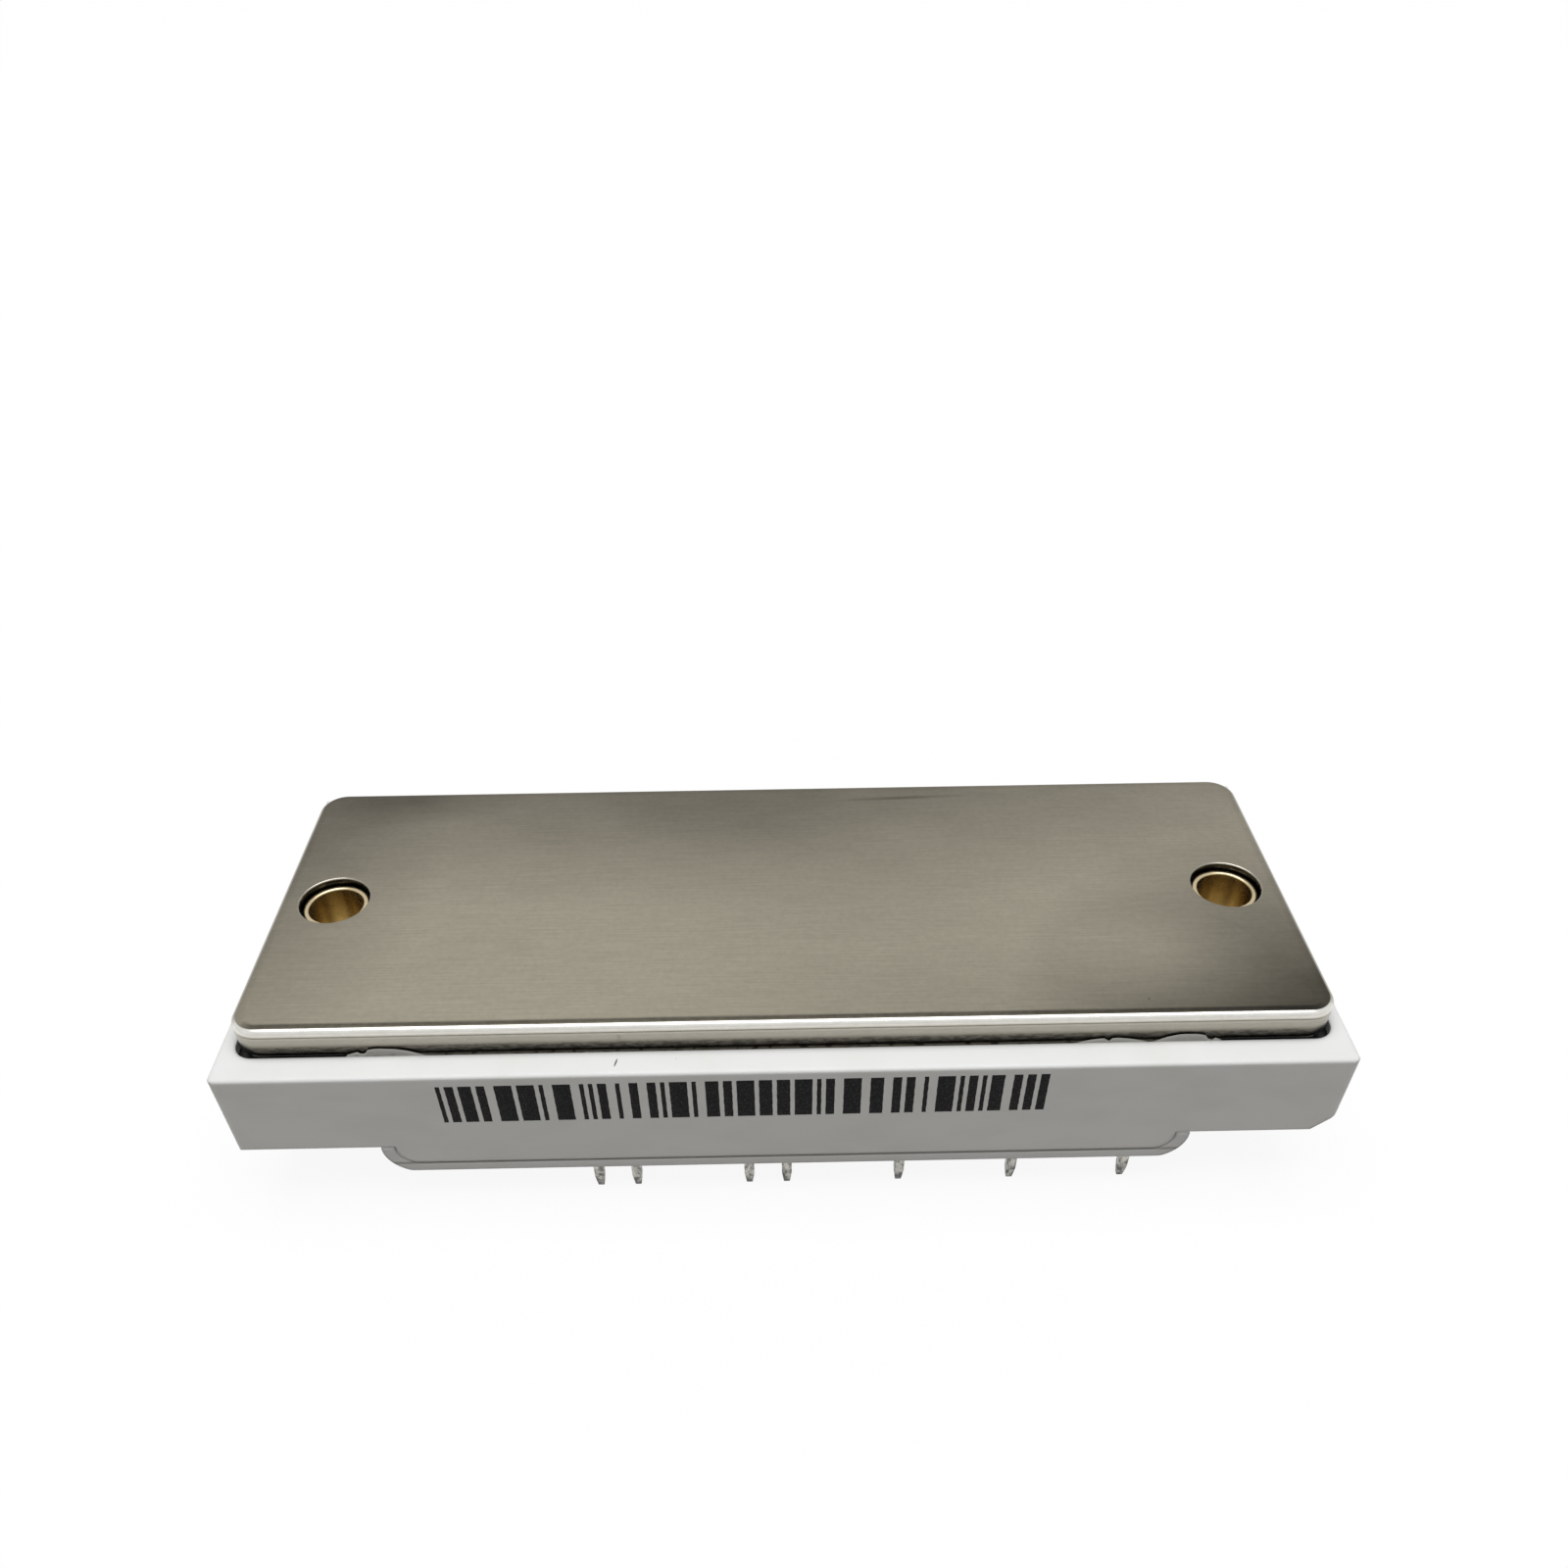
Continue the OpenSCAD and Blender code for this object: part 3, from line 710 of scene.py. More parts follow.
@dataclass(frozen=True)
class Mottled:
    """A plain material that is mottled with a second colour.

    Attributes:
        name: Name of the material.
        colour: Its main colour.
        second: The colour that it is mottled with.
        roughness: Lowest and highest roughness.
        grain: Grain size of the mottling, in millimetres.
        worked: Grain size of the marks that drawing or etching left, if any.
        extra: More of the shader's own values, by socket name.
    """

    name: str
    colour: Colour
    second: Colour
    roughness: tuple[float, float]
    grain: float = 1.6
    worked: Any = None
    extra: dict[str, float] = field(default_factory=dict)

    def build(self) -> bpy.types.Material:
        """Mixes the two colours by noise and roughens by the marks or the same noise."""
        mix = Recipe(self.name)
        marks = cloud = mix.noise(self.grain, detail=3.0)
        most = 0.65
        if self.worked is not None:
            marks, most = mix.noise(self.worked, detail=3.0, roughness=0.6), 0.7
        colour = mix.blend(mix.remap(cloud, 0.35, most), self.colour, self.second)
        rough = mix.spread(marks, *self.roughness)
        return mix.surface(colour, rough, mix.bump(marks, 2.0), **self.extra)


@dataclass
class Finishes:
    """All finishes of the module, each built once."""

    made: dict[str, bpy.types.Material] = field(default_factory=dict)

    def __post_init__(self) -> None:
        """Builds every finish."""
        metal = {"Metallic": 1.0}
        recipes = {
            Slot.NICKEL: NickelPlating(),
            Slot.CASE: WhitePlastic("case_plastic", nicked=True),
            Slot.LID: WhitePlastic("lid_plastic", (0.86, 0.868, 0.868)),
            Slot.BRASS: TurnedBrass(),
            Slot.TIN: TinnedCopper(),
            Slot.GLUE: SiliconeGlue(),
            Slot.SOLDER: Mottled(
                "solder", (0.50, 0.50, 0.51), (0.38, 0.38, 0.39), (0.32, 0.5),
                worked=(0.1, 0.1, 1.5), extra=metal,
            ),
            Slot.COPPER: Mottled(
                "etched_copper", (0.72, 0.42, 0.27), (0.55, 0.29, 0.17), (0.30, 0.45),
                worked=0.2, extra=metal,
            ),
            Slot.WIRE: Mottled(
                "bond_aluminium", (0.80, 0.80, 0.81), (0.66, 0.66, 0.67), (0.20, 0.3),
                worked=0.1, extra=metal,
            ),
            Slot.ALUMINA: Mottled(
                "alumina", (0.86, 0.85, 0.81), (0.80, 0.79, 0.75), (0.5, 0.62), 0.4
            ),
            Slot.THERMISTOR: Mottled(
                "thermistor_body", (0.06, 0.06, 0.065), (0.10, 0.10, 0.11), (0.4, 0.55), 0.3
            ),
            Slot.SILICON: Mottled(
                "silicon", (0.15, 0.17, 0.20), (0.22, 0.23, 0.25), (0.12, 0.22), 1.2,
                extra={"Metallic": 0.8},
            ),
            Slot.GEL: Mottled(
                "potting_gel", (0.90, 0.93, 0.95), (0.84, 0.88, 0.91), (0.06, 0.12), 5.0,
                extra={"Transmission_Weight": 0.85, "IOR": 1.41},
            ),
        }
        self.made = {slot.value: recipe.build() for slot, recipe in recipes.items()}
        self.made["print_ink"] = PrintInk().build()

    def dress(self, piece: bpy.types.Object, slot: Slot, finish: str = "") -> None:
        """Gives a new piece its slot's finish, or the named one, and lets it ride."""
        finish = finish or slot.value
        piece.data.materials.append(self.made[finish])
        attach(piece, BODY)
        LOG.info("%s: %d faces, finish %s", piece.name, len(piece.data.polygons), finish)

    def repaint(self, solid: bpy.types.Object, slot: Slot) -> None:
        """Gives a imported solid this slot's finish in place of its plain colour."""
        for place in solid.material_slots:
            place.material = self.made[slot.value]
        LOG.info("%s: packed solid, finish %s", solid.name, slot.value)


# ---------------------------------------------------------- pieces to be seen


@dataclass
class Baseplate:
    """The nickel-plated copper plate, one closed skin with two screw holes.

    Attributes:
        corner_radius: Radius of its corners, seen from above.
        edge_radius: Radius of the outer face's rolled edge.
        foot_radius: Radius of the inner face's edge.
        face_inset: How far in from the outline the flat faces start.
        hole_radius: Radius of its screw holes.
        hole_bevel: Bevel at the mouth of each hole.
        burr_depth: Depth of the line where the punch broke through.
        sheared: How uneven the sheared side is.
        rows: Rows of points between an outline and a hole.
        brightness: Painted highlight and shade of the edge at some points of its section, as the
            point's number and the value.
    """

    corner_radius: float = 2.8 * MM
    edge_radius: float = 0.7 * MM
    foot_radius: float = 0.25 * MM
    face_inset: float = 1.5 * MM
    hole_radius: float = 3.6 * MM
    hole_bevel: float = 0.16 * MM
    burr_depth: float = 0.025 * MM
    sheared: float = 0.012 * MM
    rows: int = 26
    brightness: tuple[tuple[int, float], ...] = (
        (5, 0.88), (9, 0.93), (13, 0.74), (15, 0.55), (16, 0.2), (17, 0.2), (18, 0.43),
        (20, 0.45), (22, 0.43), (23, 0.33), (24, 0.18), (25, 0.11), (26, 0.07), (28, 0.03),
        (32, 0.02),
    )

    def __post_init__(self) -> None:
        """Takes the plate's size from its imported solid."""
        low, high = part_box("baseplate")
        self.thickness = high.z - low.z
        self.outline = Outline(high.x - low.x, high.y - low.y, self.corner_radius)

    def edge_section(self) -> tuple[np.ndarray, dict[str, np.ndarray]]:
        """Works out the section from the outer face to the inner face.

        It is the rim of the brushed face, a quarter circle for the rolled edge, a thin line where
        the sheet was sheared, a straight side and a small lower round. The rim gets a painted dark
        reflection, the roll a painted highlight, and painted shade darkens the side towards the
        case.

        Returns:
            Inset and height of each point, and its marks: how much it belongs to the rim's painted
            dark band and to the edge, and how much painted light the edge has there.
        """
        roll, foot, burr = self.edge_radius, self.foot_radius, self.burr_depth
        turn = np.linspace(0.0, QUARTER, 13)
        lower = np.linspace(0.0, QUARTER, 5)
        side = np.array([1.15, 1.35, 1.6, 1.85, 2.1, 2.4, 2.7]) * MM
        rim = np.array([self.face_inset, 1.25 * MM, 0.95 * MM])
        line = roll + 0.16 * MM + np.array([-0.05, -0.02, 0.03, 0.06]) * MM
        inset = np.concatenate([
            rim, roll * (1.0 - np.sin(turn)), [0.0, burr, burr, 0.0],
            np.zeros(len(side)), foot * (1.0 - np.cos(lower)), [self.face_inset],
        ])
        depth = np.concatenate([
            np.zeros(len(rim)), roll * (1.0 - np.cos(turn)), line,
            side, self.thickness - foot * (1.0 - np.sin(lower)), [self.thickness],
        ])
        order = np.arange(len(inset))
        # The rim and bright marks carry painted light: a dark band on the rim, a highlight on the
        # roll, shade down the side.
        marks = {
            "rim": np.interp(order, [1, 2, 6], [0.0, 1.0, 1.0]),
            "edge": np.interp(order, [5, 6], [0.0, 1.0]),
            "bright": np.interp(order, *zip(*self.brightness)),
        }
        return np.stack([inset, -depth]), marks

    def edge(self) -> Grid:
        """Sweeps the edge section round the plate, slightly uneven as sheared.

        Along the plate's two ends the roll's painted highlight is weaker, nearly as dark as the
        face, and the rim's painted dark band is at its darkest along the front.
        """
        (inset, height), marks = self.edge_section()
        _, facing, walked = self.outline.walk()
        uneven = ripple(walked, walked[-1] + self.outline.spacing, (9, 23, 41, 67), seed=4)
        on_side = (height < -self.edge_radius) & (inset < self.face_inset)
        inset = inset + np.abs(uneven)[:, None] * on_side * self.sheared
        # Painted light round the plate: less highlight on the ends' roll, a darker band on the
        # front rim.
        at_end = np.clip((np.abs(facing[:, :1]) - 0.8) / 0.2, 0.0, 1.0)
        at_front = np.clip(-2.0 - facing[:, 1:] * 3.0, 0.12, 1.0)
        on_roll = height > -self.edge_radius - MICRON
        marks["bright"] = marks["bright"] * (1.0 - 0.55 * at_end * on_roll)
        marks["rim"] = marks["rim"] * at_front
        return Grid(self.outline.sweep(inset, height), closed_rows=True, marks=marks)

    def loop(self, centre: np.ndarray) -> tuple[np.ndarray, np.ndarray]:
        """Walks round the right half of a face.

        The loop follows the outline from its front middle to its back middle
        and returns along the middle of the plate. The second result is each
        point's angle as seen from the hole's centre.
        """
        ring = self.outline.sweep(np.array([self.face_inset]), np.zeros(1))[:, 0, :2]
        ring = ring[: len(ring) // 2 + 1]
        back = np.linspace(ring[-1], ring[0], 34)[1:-1]
        loop = np.concatenate([ring, back])
        arm = loop - centre
        return loop, np.arctan2(arm[:, 1], arm[:, 0])

    def right_half(self, centre: np.ndarray) -> list[Grid]:
        """Builds both faces and the hole of the plate's right half.

        A face is straight between its loop and the hole's rim. The hole is a
        section of bevel and bore turned round its axis.

        Args:
            centre: The hole's centre.

        Returns:
            The outer face, the inner face and the hole.
        """
        loop, angles = self.loop(centre)
        ray = np.stack([np.cos(angles), np.sin(angles)], axis=1)
        share = np.linspace(0.0, 1.0, self.rows)[:, None, None]
        bevel, mouth = self.hole_bevel, self.hole_radius + self.hole_bevel
        grids = []
        for radius, height in ((mouth, 0.0), (self.hole_radius, -self.thickness)):
            flat = loop * (1.0 - share) + (centre + ray * radius) * share
            level = np.full((*flat.shape[:2], 1), height)
            grids.append(Grid(np.concatenate([flat, level], axis=-1), closed_columns=True))
        turn = np.linspace(0.0, QUARTER, 6)
        wall = [-1.2 * bevel, *(np.array([-0.3, -0.6, -1.0]) * self.thickness)]
        section = np.concatenate([
            np.stack([mouth - bevel * np.sin(turn), bevel * (np.cos(turn) - 1.0)], axis=1),
            np.stack([np.full(len(wall), self.hole_radius), wall], axis=1),
        ])
        # The bevel at each hole's mouth gets a painted highlight and the hole's wall painted shade.
        marks = {
            "edge": np.concatenate([[0.0], np.ones(len(section) - 1)]),
            "bright": np.concatenate([np.linspace(0.35, 0.5, 6), [0.05, 0.04, 0.03, 0.02]]),
        }
        grids.append(Grid(lathe(centre, section, angles), closed_rows=True, marks=marks))
        return grids

    def build(self, hole_x: float) -> bpy.types.Object:
        """Joins the edge and both halves, with a hole on each side at this distance."""
        half = self.right_half(np.array([hole_x, 0.0]))
        grids = [self.edge(), *half, *(grid.mirrored() for grid in half)]
        return make_skin("nickel_baseplate", grids, "baseplate", sharp_deg=50.0)


@dataclass
class Bushing:
    """A turned brass bushing with a broken edge at each rim.

    Attributes:
        node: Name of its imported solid.
        bore_radius: Radius of its bore.
        barrel_radius: Radius of its barrel.
        flange_thickness: Thickness of the flange on its pin side.
        broken_edges: Radius of each edge, from the bore's outer rim round.
        steps: Pieces round its axis.
        seed: Seed of the streaks down its bore.
    """

    node: str
    bore_radius: float
    barrel_radius: float = 3.4 * MM
    flange_thickness: float = 1.2 * MM
    broken_edges: tuple[float, ...] = (0.22, 0.26, 0.08, 0.12, 0.2, 0.2)
    steps: int = 96
    seed: int = 7

    def build(self) -> bpy.types.Object:
        """Turns the rounded section round the axis, with marks for the bore's streaks."""
        low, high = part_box(self.node)
        centre = ((low.x + high.x) / 2.0, (low.y + high.y) / 2.0)
        flange = (high.x - low.x) / 2.0
        shoulder = low.z + self.flange_thickness
        corners = [
            (self.bore_radius, high.z), (self.barrel_radius, high.z),
            (self.barrel_radius, shoulder), (flange, shoulder),
            (flange, low.z), (self.bore_radius, low.z),
        ]
        section = rounded_path(corners, np.array(self.broken_edges) * MM, steps=5)
        angles = np.linspace(0.0, TURN, self.steps, endpoint=False)
        # Streaks round the bore are painted reflection bands.
        streaks = 0.35 - 0.5 * ripple(angles, TURN, (2, 3, 5), seed=self.seed)
        in_bore = (section[:, 0] < self.bore_radius + 0.12 * MM).astype(float)
        marks = {"bore": in_bore, "browned": streaks[:, None]}
        points = lathe(centre, section, angles)
        return make_skin(f"brass_{self.node}", [Grid(points, True, True, marks)], self.node)


@dataclass
class SolderPin:
    """A stamped and tinned pin with a bent foot and a coined tip.

    Attributes:
        node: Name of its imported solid.
        width: Its width along the wall that holds it.
        thickness: Its thickness across that wall.
        tip_share: Width of the tip as a share of the full width.
        tip_length: Length of the tapered tip.
        foot_thickness: Thickness of the foot.
        bend: Radius of the bend above the foot, at the pin's middle.
        softness: Radius of the pin's long edges.
    """

    node: str
    width: float = 1.0 * MM
    thickness: float = 0.8 * MM
    tip_share: float = 0.62
    tip_length: float = 1.6 * MM
    foot_thickness: float = 0.6 * MM
    bend: float = 0.42 * MM
    softness: float = 0.1 * MM

    def route(self) -> np.ndarray:
        """Finds the pin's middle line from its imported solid's box.

        The shank stands at the box's outer end, away from the module's middle.
        Seen from above, the foot runs from there along the shorter way in, and
        where the box is much wider than the pin it steps sideways at the end.

        Returns:
            The foot's corners, from the one where the shank stands inwards.
        """
        low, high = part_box(self.node)
        size = np.array([high.x - low.x, high.y - low.y])
        middle = np.array([high.x + low.x, high.y + low.y]) / 2.0
        corner = np.abs(middle) + size / 2.0
        sign = np.where(middle < 0.0, -1.0, 1.0)
        slack = 0.05 * MM
        if abs(size[1] - self.width) < slack:
            stand_x = sign[0] * (corner[0] - self.thickness / 2.0)
            end_x = middle[0] - sign[0] * size[0] / 2.0
            return np.array([[stand_x, middle[1]], [end_x, middle[1]]])
        stepped = size[0] > self.width + slack
        stand_x = sign[0] * (corner[0] - self.width / 2.0) if stepped else middle[0]
        stand = [stand_x, sign[1] * (corner[1] - self.thickness / 2.0)]
        end_y = sign[1] * (corner[1] - size[1])
        if not stepped:
            return np.array([stand, [stand_x, end_y]])
        lane_y = end_y + sign[1] * self.width / 2.0
        end_x = stand_x - sign[0] * (size[0] - self.width / 2.0)
        return np.array([stand, [stand_x, lane_y], [end_x, lane_y]])

    def stations(self, low: float, floor: float, reach: float) -> np.ndarray:
        """Works out the sections along the foot, the bend and the shank.

        Args:
            low: Height of the tip.
            floor: Height of the foot's middle.
            reach: Length of the foot.

        Returns:
            Five rows: each section's distance inwards, height, lean,
            thickness and share of the full size.
        """
        turn = np.linspace(0.0, QUARTER, 7)
        start = floor - self.bend
        tip = self.tip_share
        heights = np.concatenate([
            np.linspace(start, low + self.tip_length, 6)[1:],
            low + np.array([0.35 * self.tip_length, 0.08 * MM, 0.0]),
        ])
        foot = (np.linspace(reach, self.bend, 4)[:-1], floor, 0.0, self.foot_thickness, 1.0)
        bend = (
            self.bend * (1.0 - np.sin(turn)), start + self.bend * np.cos(turn), turn,
            np.linspace(self.foot_thickness, self.thickness, len(turn)), 1.0,
        )
        shares = np.concatenate([np.ones(5), [1.0 - 0.65 * (1.0 - tip), tip, 0.55 * tip]])
        shank = (0.0, heights, QUARTER, self.thickness, shares)
        return np.hstack([
            np.stack(np.broadcast_arrays(*stretch)) for stretch in (foot, bend, shank)
        ])

    def build(self) -> bpy.types.Object:
        """Carries the pin's section along its shank and bend into the foot.

        Each station's section is a rounded rectangle whose two half sizes
        follow the taper. A stepped foot's sideways arm is a second, flat bar.
        """
        low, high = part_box(self.node)
        corners = self.route()
        inward = corners[1] - corners[0]
        reach = np.linalg.norm(inward)
        inward /= reach
        stepped = len(corners) == 3
        if stepped:
            reach += self.width / 2.0
        floor = high.z - self.foot_thickness / 2.0
        run, drop, lean, thick, shrink = self.stations(low.z, floor, reach)
        box = np.array([(-1, -1), (1, -1), (1, 1), (-1, 1)]) * 0.5
        ring = rounded_path(box, (self.softness / self.width,) * 4, steps=3)
        across = np.array([-inward[1], inward[0]])
        aside = ring[None, :, 0] * (self.width * shrink)[:, None]
        depth = ring[None, :, 1] * (thick * shrink)[:, None]
        line = run[:, None] + depth * np.sin(lean)[:, None]
        z = drop[:, None] + depth * np.cos(lean)[:, None]
        flat = corners[0] + line[..., None] * inward + aside[..., None] * across
        body = self.capped(np.concatenate([flat, z[..., None]], axis=-1))
        near_tip = np.clip((low.z + 2.6 * MM - drop) / (2.2 * MM), 0.0, 1.0)
        marks = {"tip": np.pad(near_tip, 1, mode="edge")[:, None]}
        grids = [Grid(body, closed_columns=True, marks=marks)]
        if stepped:
            grids.append(self.side_arm(corners, floor, ring))
        return make_skin(f"solder_{self.node}", grids, self.node)

    def side_arm(self, corners: np.ndarray, floor: float, ring: np.ndarray) -> Grid:
        """Builds the flat bar of a stepped foot, from its inner end to the shank's line."""
        along = np.linspace(corners[2], corners[1], 3)
        x = np.broadcast_to(along[:, :1], (3, len(ring)))
        y = along[:, 1:] + ring[None, :, 0] * self.width
        z = np.broadcast_to(floor + ring[None, :, 1] * self.foot_thickness, x.shape)
        return Grid(self.capped(np.stack([x, y, z], axis=-1)), closed_columns=True)

    @staticmethod
    def capped(body: np.ndarray) -> np.ndarray:
        """Closes both ends of a tube with rows that all lie at the end's middle."""
        first, last = (
            np.broadcast_to(row.mean(axis=0), row.shape)[None] for row in (body[0], body[-1])
        )
        return np.concatenate([first, body, last])


@dataclass
class GlueBead:
    """Silicone in the groove under the plate and in the gap beside it.

    Attributes:
        gap_end: Gap between plate and rim at the ends.
        gap_side: Gap between plate and rim along the sides.
        corner_radius: Radius of the recess's corners.
        groove_width: Width of the groove.
        groove_depth: Depth of the groove below its seat.
        sag: How far the glue lies below its seat where the gap is bare.
        fill_length: Length over which the glue fills the gap.
        shy: How far the glue stays below the rim there.
        lumps: Places of the squeezed-out lumps on the front, as their middle,
            half length and height.
    """

    gap_end: float = 0.1 * MM
    gap_side: float = 0.3 * MM
    corner_radius: float = 2.0 * MM
    groove_width: float = 1.2 * MM
    groove_depth: float = 1.4 * MM
    sag: float = 0.9 * MM
    fill_length: float = 84.0 * MM
    shy: float = 0.18 * MM
    lumps: tuple[tuple[float, float, float], ...] = (
        (-37.9 * MM, 4.0 * MM, 1.05 * MM),
        (31.0 * MM, 3.6 * MM, 0.65 * MM),
        (38.2 * MM, 3.4 * MM, 1.00 * MM),
    )

    def build(self) -> bpy.types.Object:
        """Sweeps the bead's section round the recess.

        The section is an L: a bar in the groove and a thin upright in the gap.
        The upright's top follows the fill with a low ripple and short dips. On
        the front it rises in lumps, whose height falls off as one minus the
        square of the distance from the lump's middle.
        """
        plate_low, plate_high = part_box("baseplate")
        length = plate_high.x - plate_low.x + 2.0 * self.gap_end
        width = plate_high.y - plate_low.y + 2.0 * self.gap_side
        seat, rim = plate_low.z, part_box("housing_frame")[1].z
        outline = Outline(length, width, self.corner_radius, 0.25 * MM, 6)
        anchors, normals, walked = outline.walk()
        x = anchors[:, 0]
        along = np.abs(normals[:, 1]) > 0.999
        filled = np.clip((self.fill_length / 2.0 - np.abs(x)) / (0.7 * MM), 0.0, 1.0) * along
        filled = filled * filled * (3.0 - 2.0 * filled)
        total = walked[-1] + outline.spacing
        uneven = ripple(walked, total, (31, 67, 113, 191), seed=11)
        dips = np.clip(ripple(walked, total, (53, 89, 149), seed=23) - 0.75, 0.0, 0.3) / 0.3
        lump = np.zeros_like(x)
        for middle, half, height in self.lumps:
            share = np.clip((x - middle) / half, -1.0, 1.0)
            rise = height * (1.0 - share**2)
            lump = np.maximum(lump, np.where(normals[:, 1] < -0.999, rise, 0.0))
        top = rim - self.shy + uneven * 0.03 * MM - dips * 0.4 * MM + lump
        low_top = seat - self.sag
        crest = low_top + (top - low_top) * filled
        shelf = low_top + (seat - low_top) * filled - 0.02 * MM
        gap = np.where(along, self.gap_side, self.gap_end)
        soft = np.minimum(0.12 * MM, 0.05 * MM + lump * 0.3)
        crack = 0.05 * MM + lump * 0.25
        foot = seat - self.groove_depth
        section = (  # inset, height, grime and painted shade, and grime and painted shade on a lump
            (0.0, foot, 1.0, 1.0),
            (0.0, crest - 3.0 * soft, 0.5, 0.3),
            (0.08 * gap, crest - soft, 0.55, 0.0),
            (0.22 * gap, crest - 0.3 * soft, 0.7, 0.0),
            (0.45 * gap, crest, 0.9, 0.05),
            (0.62 * gap, crest - 0.2 * crack, 1.0, 0.5),
            (0.75 * gap, crest - crack, 1.0, 1.0),
            (gap, crest - 2.0 * crack - 0.02 * MM, 1.0, 1.0),
            (gap, shelf, 1.0, 1.0),
            (self.groove_width, shelf, 1.0, 1.0),
            (self.groove_width, foot, 1.0, 1.0),
        )
        inset, height, dirt, lump_dirt_and_shade = (
            np.stack([np.broadcast_to(value, x.shape) for value in column], axis=1)
            for column in zip(*section)
        )
        # The first mark is grime and painted shade along the plate and in the crack over each lump;
        # bare marks the unfilled gap, whose glue is painted black as shade.
        clean = np.clip(lump / (0.2 * MM), 0.0, 1.0)[:, None]
        marks = {"dirt": dirt * (1.0 - clean) + lump_dirt_and_shade * clean, "bare": 1.0 - filled[:, None]}
        grid = Grid(outline.sweep(inset, height), True, True, marks)
        return make_skin("glue_bead", [grid], "adhesive_seal", sharp_deg=60.0)


@dataclass
class PrintedBars:
    """A row of plain upright bars printed on the front of the case.

    The bars and the gaps between them are one to four modules wide, in an
    order that a fixed random draw gives, and they stand for no code.

    Attributes:
        start: Where the row starts along X.
        end: Where it ends.
        top: Height of the bars' upper ends.
        bottom: Height of their lower ends.
        module: Width of the narrowest bar.
        lift: Thickness of the ink.
        slope: Rise of the row for each unit along X.
        wobble: How uneven the bars' edges are.
        seed: Seed of the draw.
    """

    start: float = -32.8 * MM
    end: float = 25.5 * MM
    top: float = -4.2 * MM
    bottom: float = -9.25 * MM
    module: float = 0.42 * MM
    lift: float = 0.012 * MM
    slope: float = 0.004
    wobble: float = 0.018 * MM
    seed: int = 35

    def build(self) -> bpy.types.Object:
        """Draws the widths and lays out each bar until the row's end."""
        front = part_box("housing_frame")[0].y
        draw = np.random.default_rng(self.seed)
        most = 120
        widths = draw.choice([1, 1, 2, 2, 3, 4], most)
        gaps = draw.choice([1, 1, 1, 2, 2], most)
        edges = self.start + np.cumsum(np.stack([widths, gaps], axis=1).ravel()) * self.module
        left = np.concatenate([[self.start], edges[1::2]])
        right = edges[0::2]
        count = int(np.searchsorted(right, self.end))
        grids = [self.bar(left[turn], right[turn], front, turn) for turn in range(count)]
        return make_skin("printed_bars", grids)

    def bar(self, near: float, far: float, front: float, turn: int) -> Grid:
        """Builds one bar, from near to far along X, as a thin plate on the front face.

        The plate is crowned, and its turn in the row seeds its uneven edges.
        """
        height = self.top - self.bottom
        z = np.concatenate([[0.0], np.linspace(0.01, 0.99, 15), [1.0]]) * height + self.bottom
        wobble = ripple(z, height * 3.0, (7, 13, 29), turn + 100) * self.wobble
        across = np.array([0.0, 0.06, 0.5, 0.94, 1.0])
        x = (near + wobble)[:, None] * (1.0 - across) + (far - wobble[::-1])[:, None] * across
        lift = np.full_like(x, self.lift)
        lift[[0, -1], :] = 0.0
        lift[:, [0, -1]] = 0.0
        return Grid(np.stack([x, front - lift, z[:, None] + self.slope * x], axis=-1))


# --------------------------------------------------------------------- studio


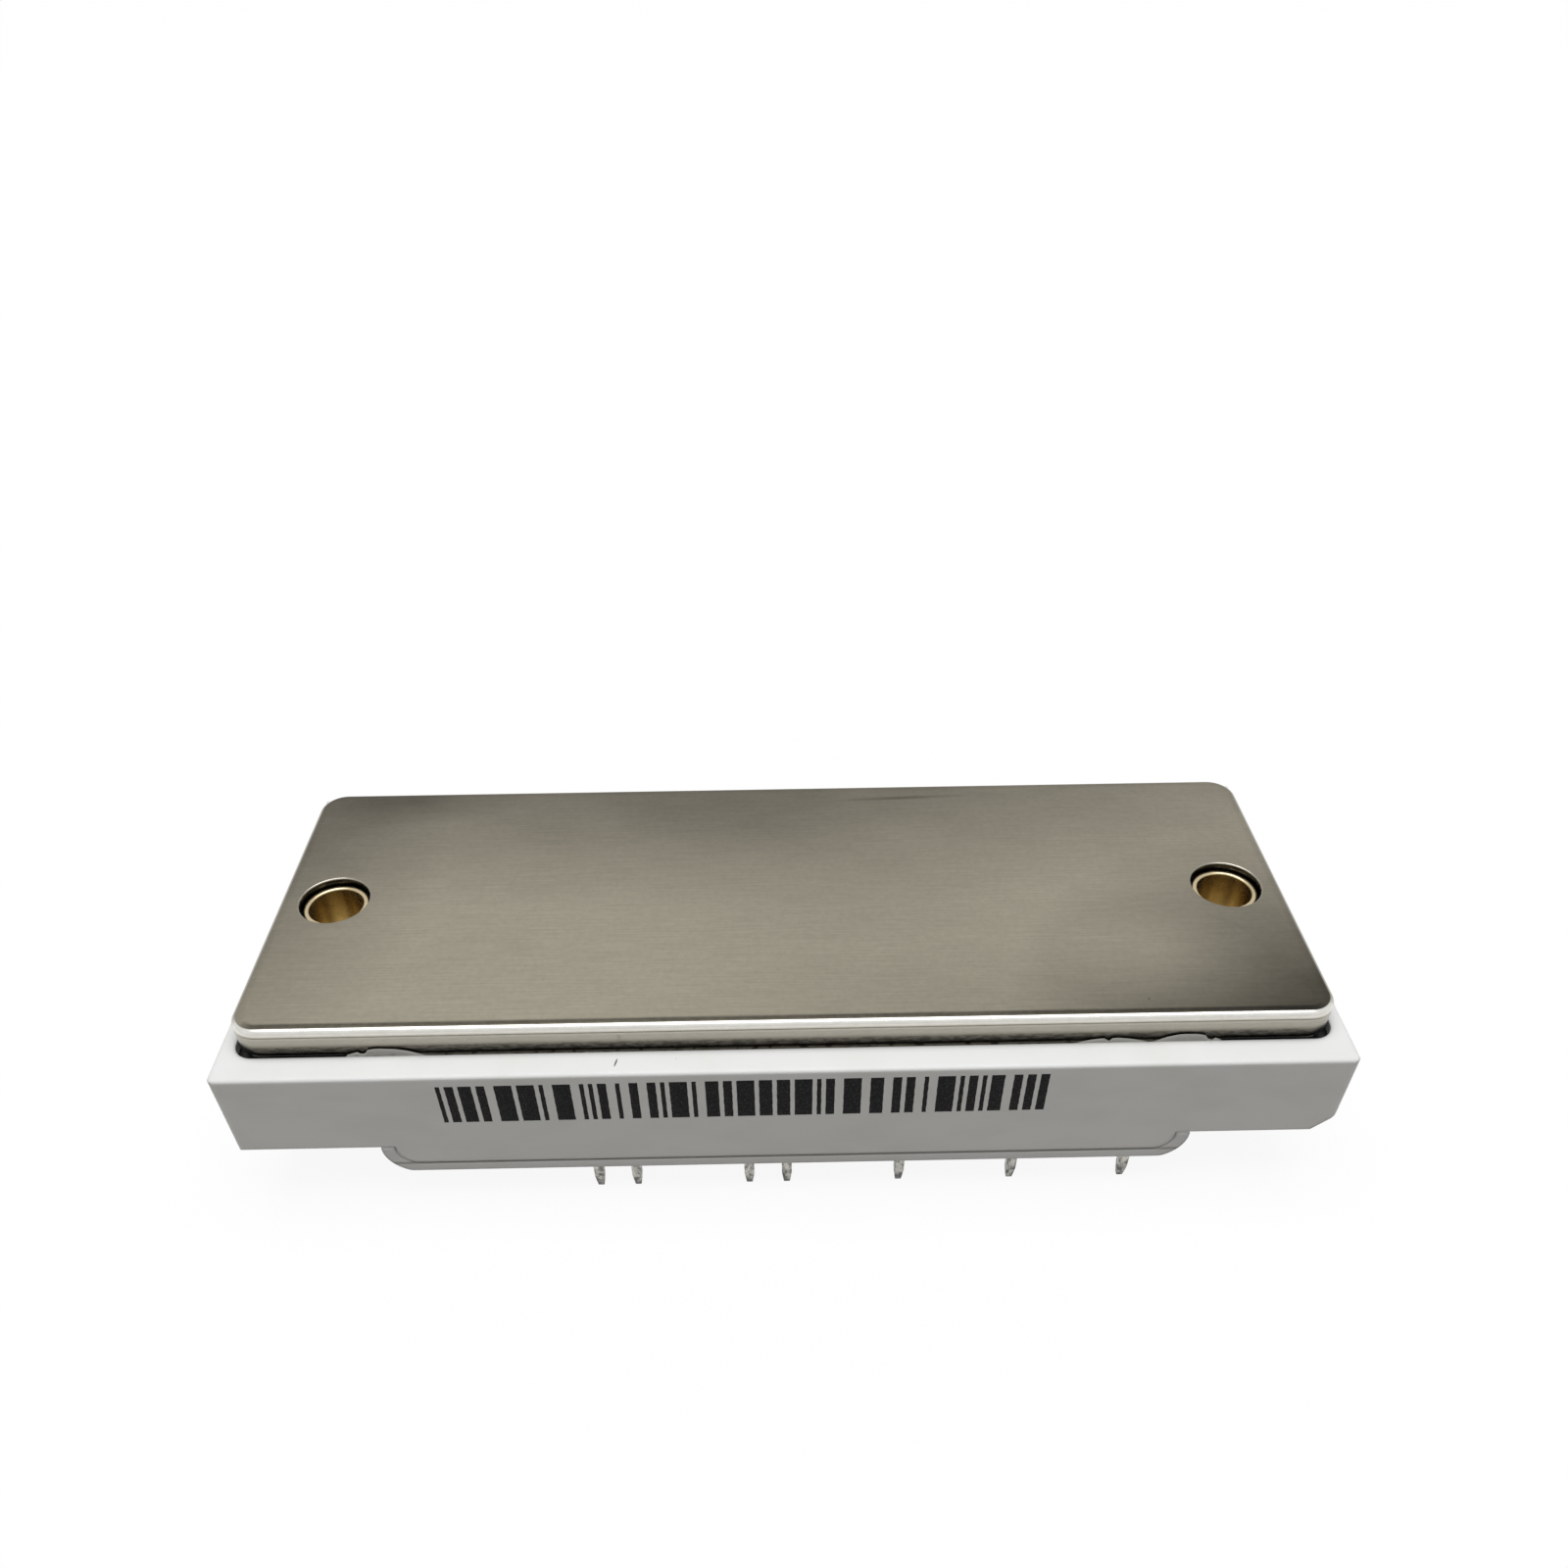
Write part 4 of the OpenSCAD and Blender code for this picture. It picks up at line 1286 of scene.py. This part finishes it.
@dataclass
class Studio:
    """A plain white floor, an overhead soft light, a white sky and the camera.

    Attributes:
        floor_size: Side of the floor.
        floor_tone: Colour of the light that the floor throws back at the module.
        paper: Colour of the floor's own shading.
        shade_share: Share of that shading that the camera sees.
        glow: Strength of the white that makes up the rest, far off and in the
            middle, where the lamp lights the floor more.
        lit_reach: Distance over which the lamp's light on the floor falls off,
            in millimetres.
        sky: Strength of the sky's light on the module.
        mirrored_sky: Strength of the sky in reflections.
        lamp_at: Where the overhead lamp hangs, facing the origin.
        lamp_size: Its two sides.
        lamp_watts: Its power.
        camera_at: Where the camera stands.
        heading_deg: Turn of the camera to the right.
        tilt_deg: How far the camera looks down.
        roll_deg: Turn of the camera about its own axis.
        lens_mm: Focal length for a 36 mm wide frame.
        shift: Upward shift of the frame.
        near_clip: Distance within which the camera sees nothing.
    """

    floor_size: float = 6.0
    floor_tone: Colour = (0.236, 0.220, 0.190)
    paper: Colour = (0.95, 0.95, 0.95)
    shade_share: float = 0.10
    glow: tuple[float, float] = (1.08, 1.012)
    lit_reach: float = 620.0
    sky: float = 0.224
    mirrored_sky: float = 0.8
    lamp_at: tuple[float, float, float] = (0.0, -0.02, 0.55)
    lamp_size: tuple[float, float] = (0.55, 0.45)
    lamp_watts: float = 2.6
    camera_at: tuple[float, float, float] = (-1.015 * MM, -100.06 * MM, 81.54 * MM)
    heading_deg: float = -0.676
    tilt_deg: float = 43.25
    roll_deg: float = -0.588
    lens_mm: float = 28.351
    shift: float = 0.125
    near_clip: float = 0.005

    def floor(self, level: float) -> None:
        """Lays the floor at a height, white to the camera and in reflections."""
        line = np.linspace(-self.floor_size / 2.0, self.floor_size / 2.0, 3)
        x, y = np.meshgrid(line, line, indexing="ij")
        floor = make_skin("studio_floor", [Grid(np.stack([x, y, np.full_like(x, level)], axis=-1))])
        mix = Recipe("studio_floor")
        bounce = mix.node("ShaderNodeBsdfDiffuse", {"Color": rgba(self.floor_tone)})
        paper = mix.node("ShaderNodeBsdfDiffuse", {"Color": rgba(self.paper)})
        near = mix.spot((0.0, 0.0, level / MM), self.lit_reach)
        strength = mix.remap(near, 0.0, 1.0, *self.glow)
        white = {"Color": rgba((1.0, 1.0, 1.0)), "Strength": strength}
        glow = mix.node("ShaderNodeEmission", white)
        lit = mix.either(self.shade_share, glow, paper)
        seen = mix.maths("MINIMUM", mix.seen(), 1.0)
        floor.data.materials.append(mix.close(mix.either(seen, bounce, lit)))
        floor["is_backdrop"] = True

    def sky_light(self) -> None:
        """Makes the sky white to the camera, nearly so in reflections, and dimmer as light."""
        mix = Recipe("studio_sky", world=True)
        strength = mix.maths("MAXIMUM", mix.seen(self.mirrored_sky), self.sky)
        inputs = {"Color": rgba((1.0, 1.0, 1.0)), "Strength": strength}
        bpy.context.scene.world = mix.close(mix.node("ShaderNodeBackground", inputs))

    def lamp(self) -> None:
        """Hangs the rectangular overhead light."""
        light = bpy.data.lights.new("overhead_light", "AREA")
        light.shape = "RECTANGLE"
        light.size, light.size_y = self.lamp_size
        light.energy = self.lamp_watts
        lamp = bpy.data.objects.new("overhead_light", light)
        lamp.location = self.lamp_at
        lamp.rotation_euler = (-Vector(self.lamp_at)).to_track_quat("-Z", "Y").to_euler()
        bpy.context.scene.collection.objects.link(lamp)

    def camera(self) -> None:
        """Sets up the camera, its turns taken about Z, then X, then its own axis."""
        lens = bpy.data.cameras.new("studio_camera")
        lens.sensor_width = 36.0
        lens.lens = self.lens_mm
        lens.shift_y = self.shift
        lens.clip_start = self.near_clip
        camera = bpy.data.objects.new("studio_camera", lens)
        turn = Matrix.Identity(4)
        degrees = (self.heading_deg, 90.0 - self.tilt_deg, self.roll_deg)
        for angle, axis in zip(degrees, "ZXZ"):
            turn = turn @ Matrix.Rotation(math.radians(angle), 4, axis)
        camera.matrix_world = Matrix.Translation(self.camera_at) @ turn
        bpy.context.scene.collection.objects.link(camera)
        bpy.context.scene.camera = camera

    def build(self, level: float) -> None:
        """Sets up the whole studio over a floor at a height."""
        self.floor(level)
        self.sky_light()
        self.lamp()
        self.camera()
        bpy.context.scene.view_settings.view_transform = "Standard"


# ----------------------------------------------------------------------- main


def bore_of(record: dict[str, Any], name: str) -> tuple[float, float]:
    """Finds a screw bore among the record's mounts, as its place along X and its radius."""
    mount = next(entry for entry in record["mounts"] if entry["name"] == name)
    return mount["pos_m"][0], mount["dims"]["r_mm"] * MM


def main() -> None:
    """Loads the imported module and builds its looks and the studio."""
    logging.basicConfig(level=logging.INFO, format="%(message)s")
    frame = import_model()
    record, solids = frame["record"], frame["nodes"]
    finishes = Finishes()
    for part in record["subparts"]:
        finishes.repaint(solids[part["node"]], Slot(part["material_slot"]))

    hole_x, bore_radius = bore_of(record, "screw_bore_right")
    finishes.dress(Baseplate().build(hole_x), Slot.NICKEL)
    for node in ("bushing_left", "bushing_right"):
        finishes.dress(Bushing(node, bore_radius).build(), Slot.BRASS)
    finishes.dress(GlueBead().build(), Slot.GLUE)
    pin_count = sum(1 for name in solids if name.startswith("pin_"))
    for number in range(1, pin_count + 1):
        finishes.dress(SolderPin(f"pin_{number}").build(), Slot.TIN)
    finishes.dress(PrintedBars().build(), Slot.CASE, "print_ink")

    Studio().build(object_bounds()[0][2])


if __name__ == "__main__":
    main()
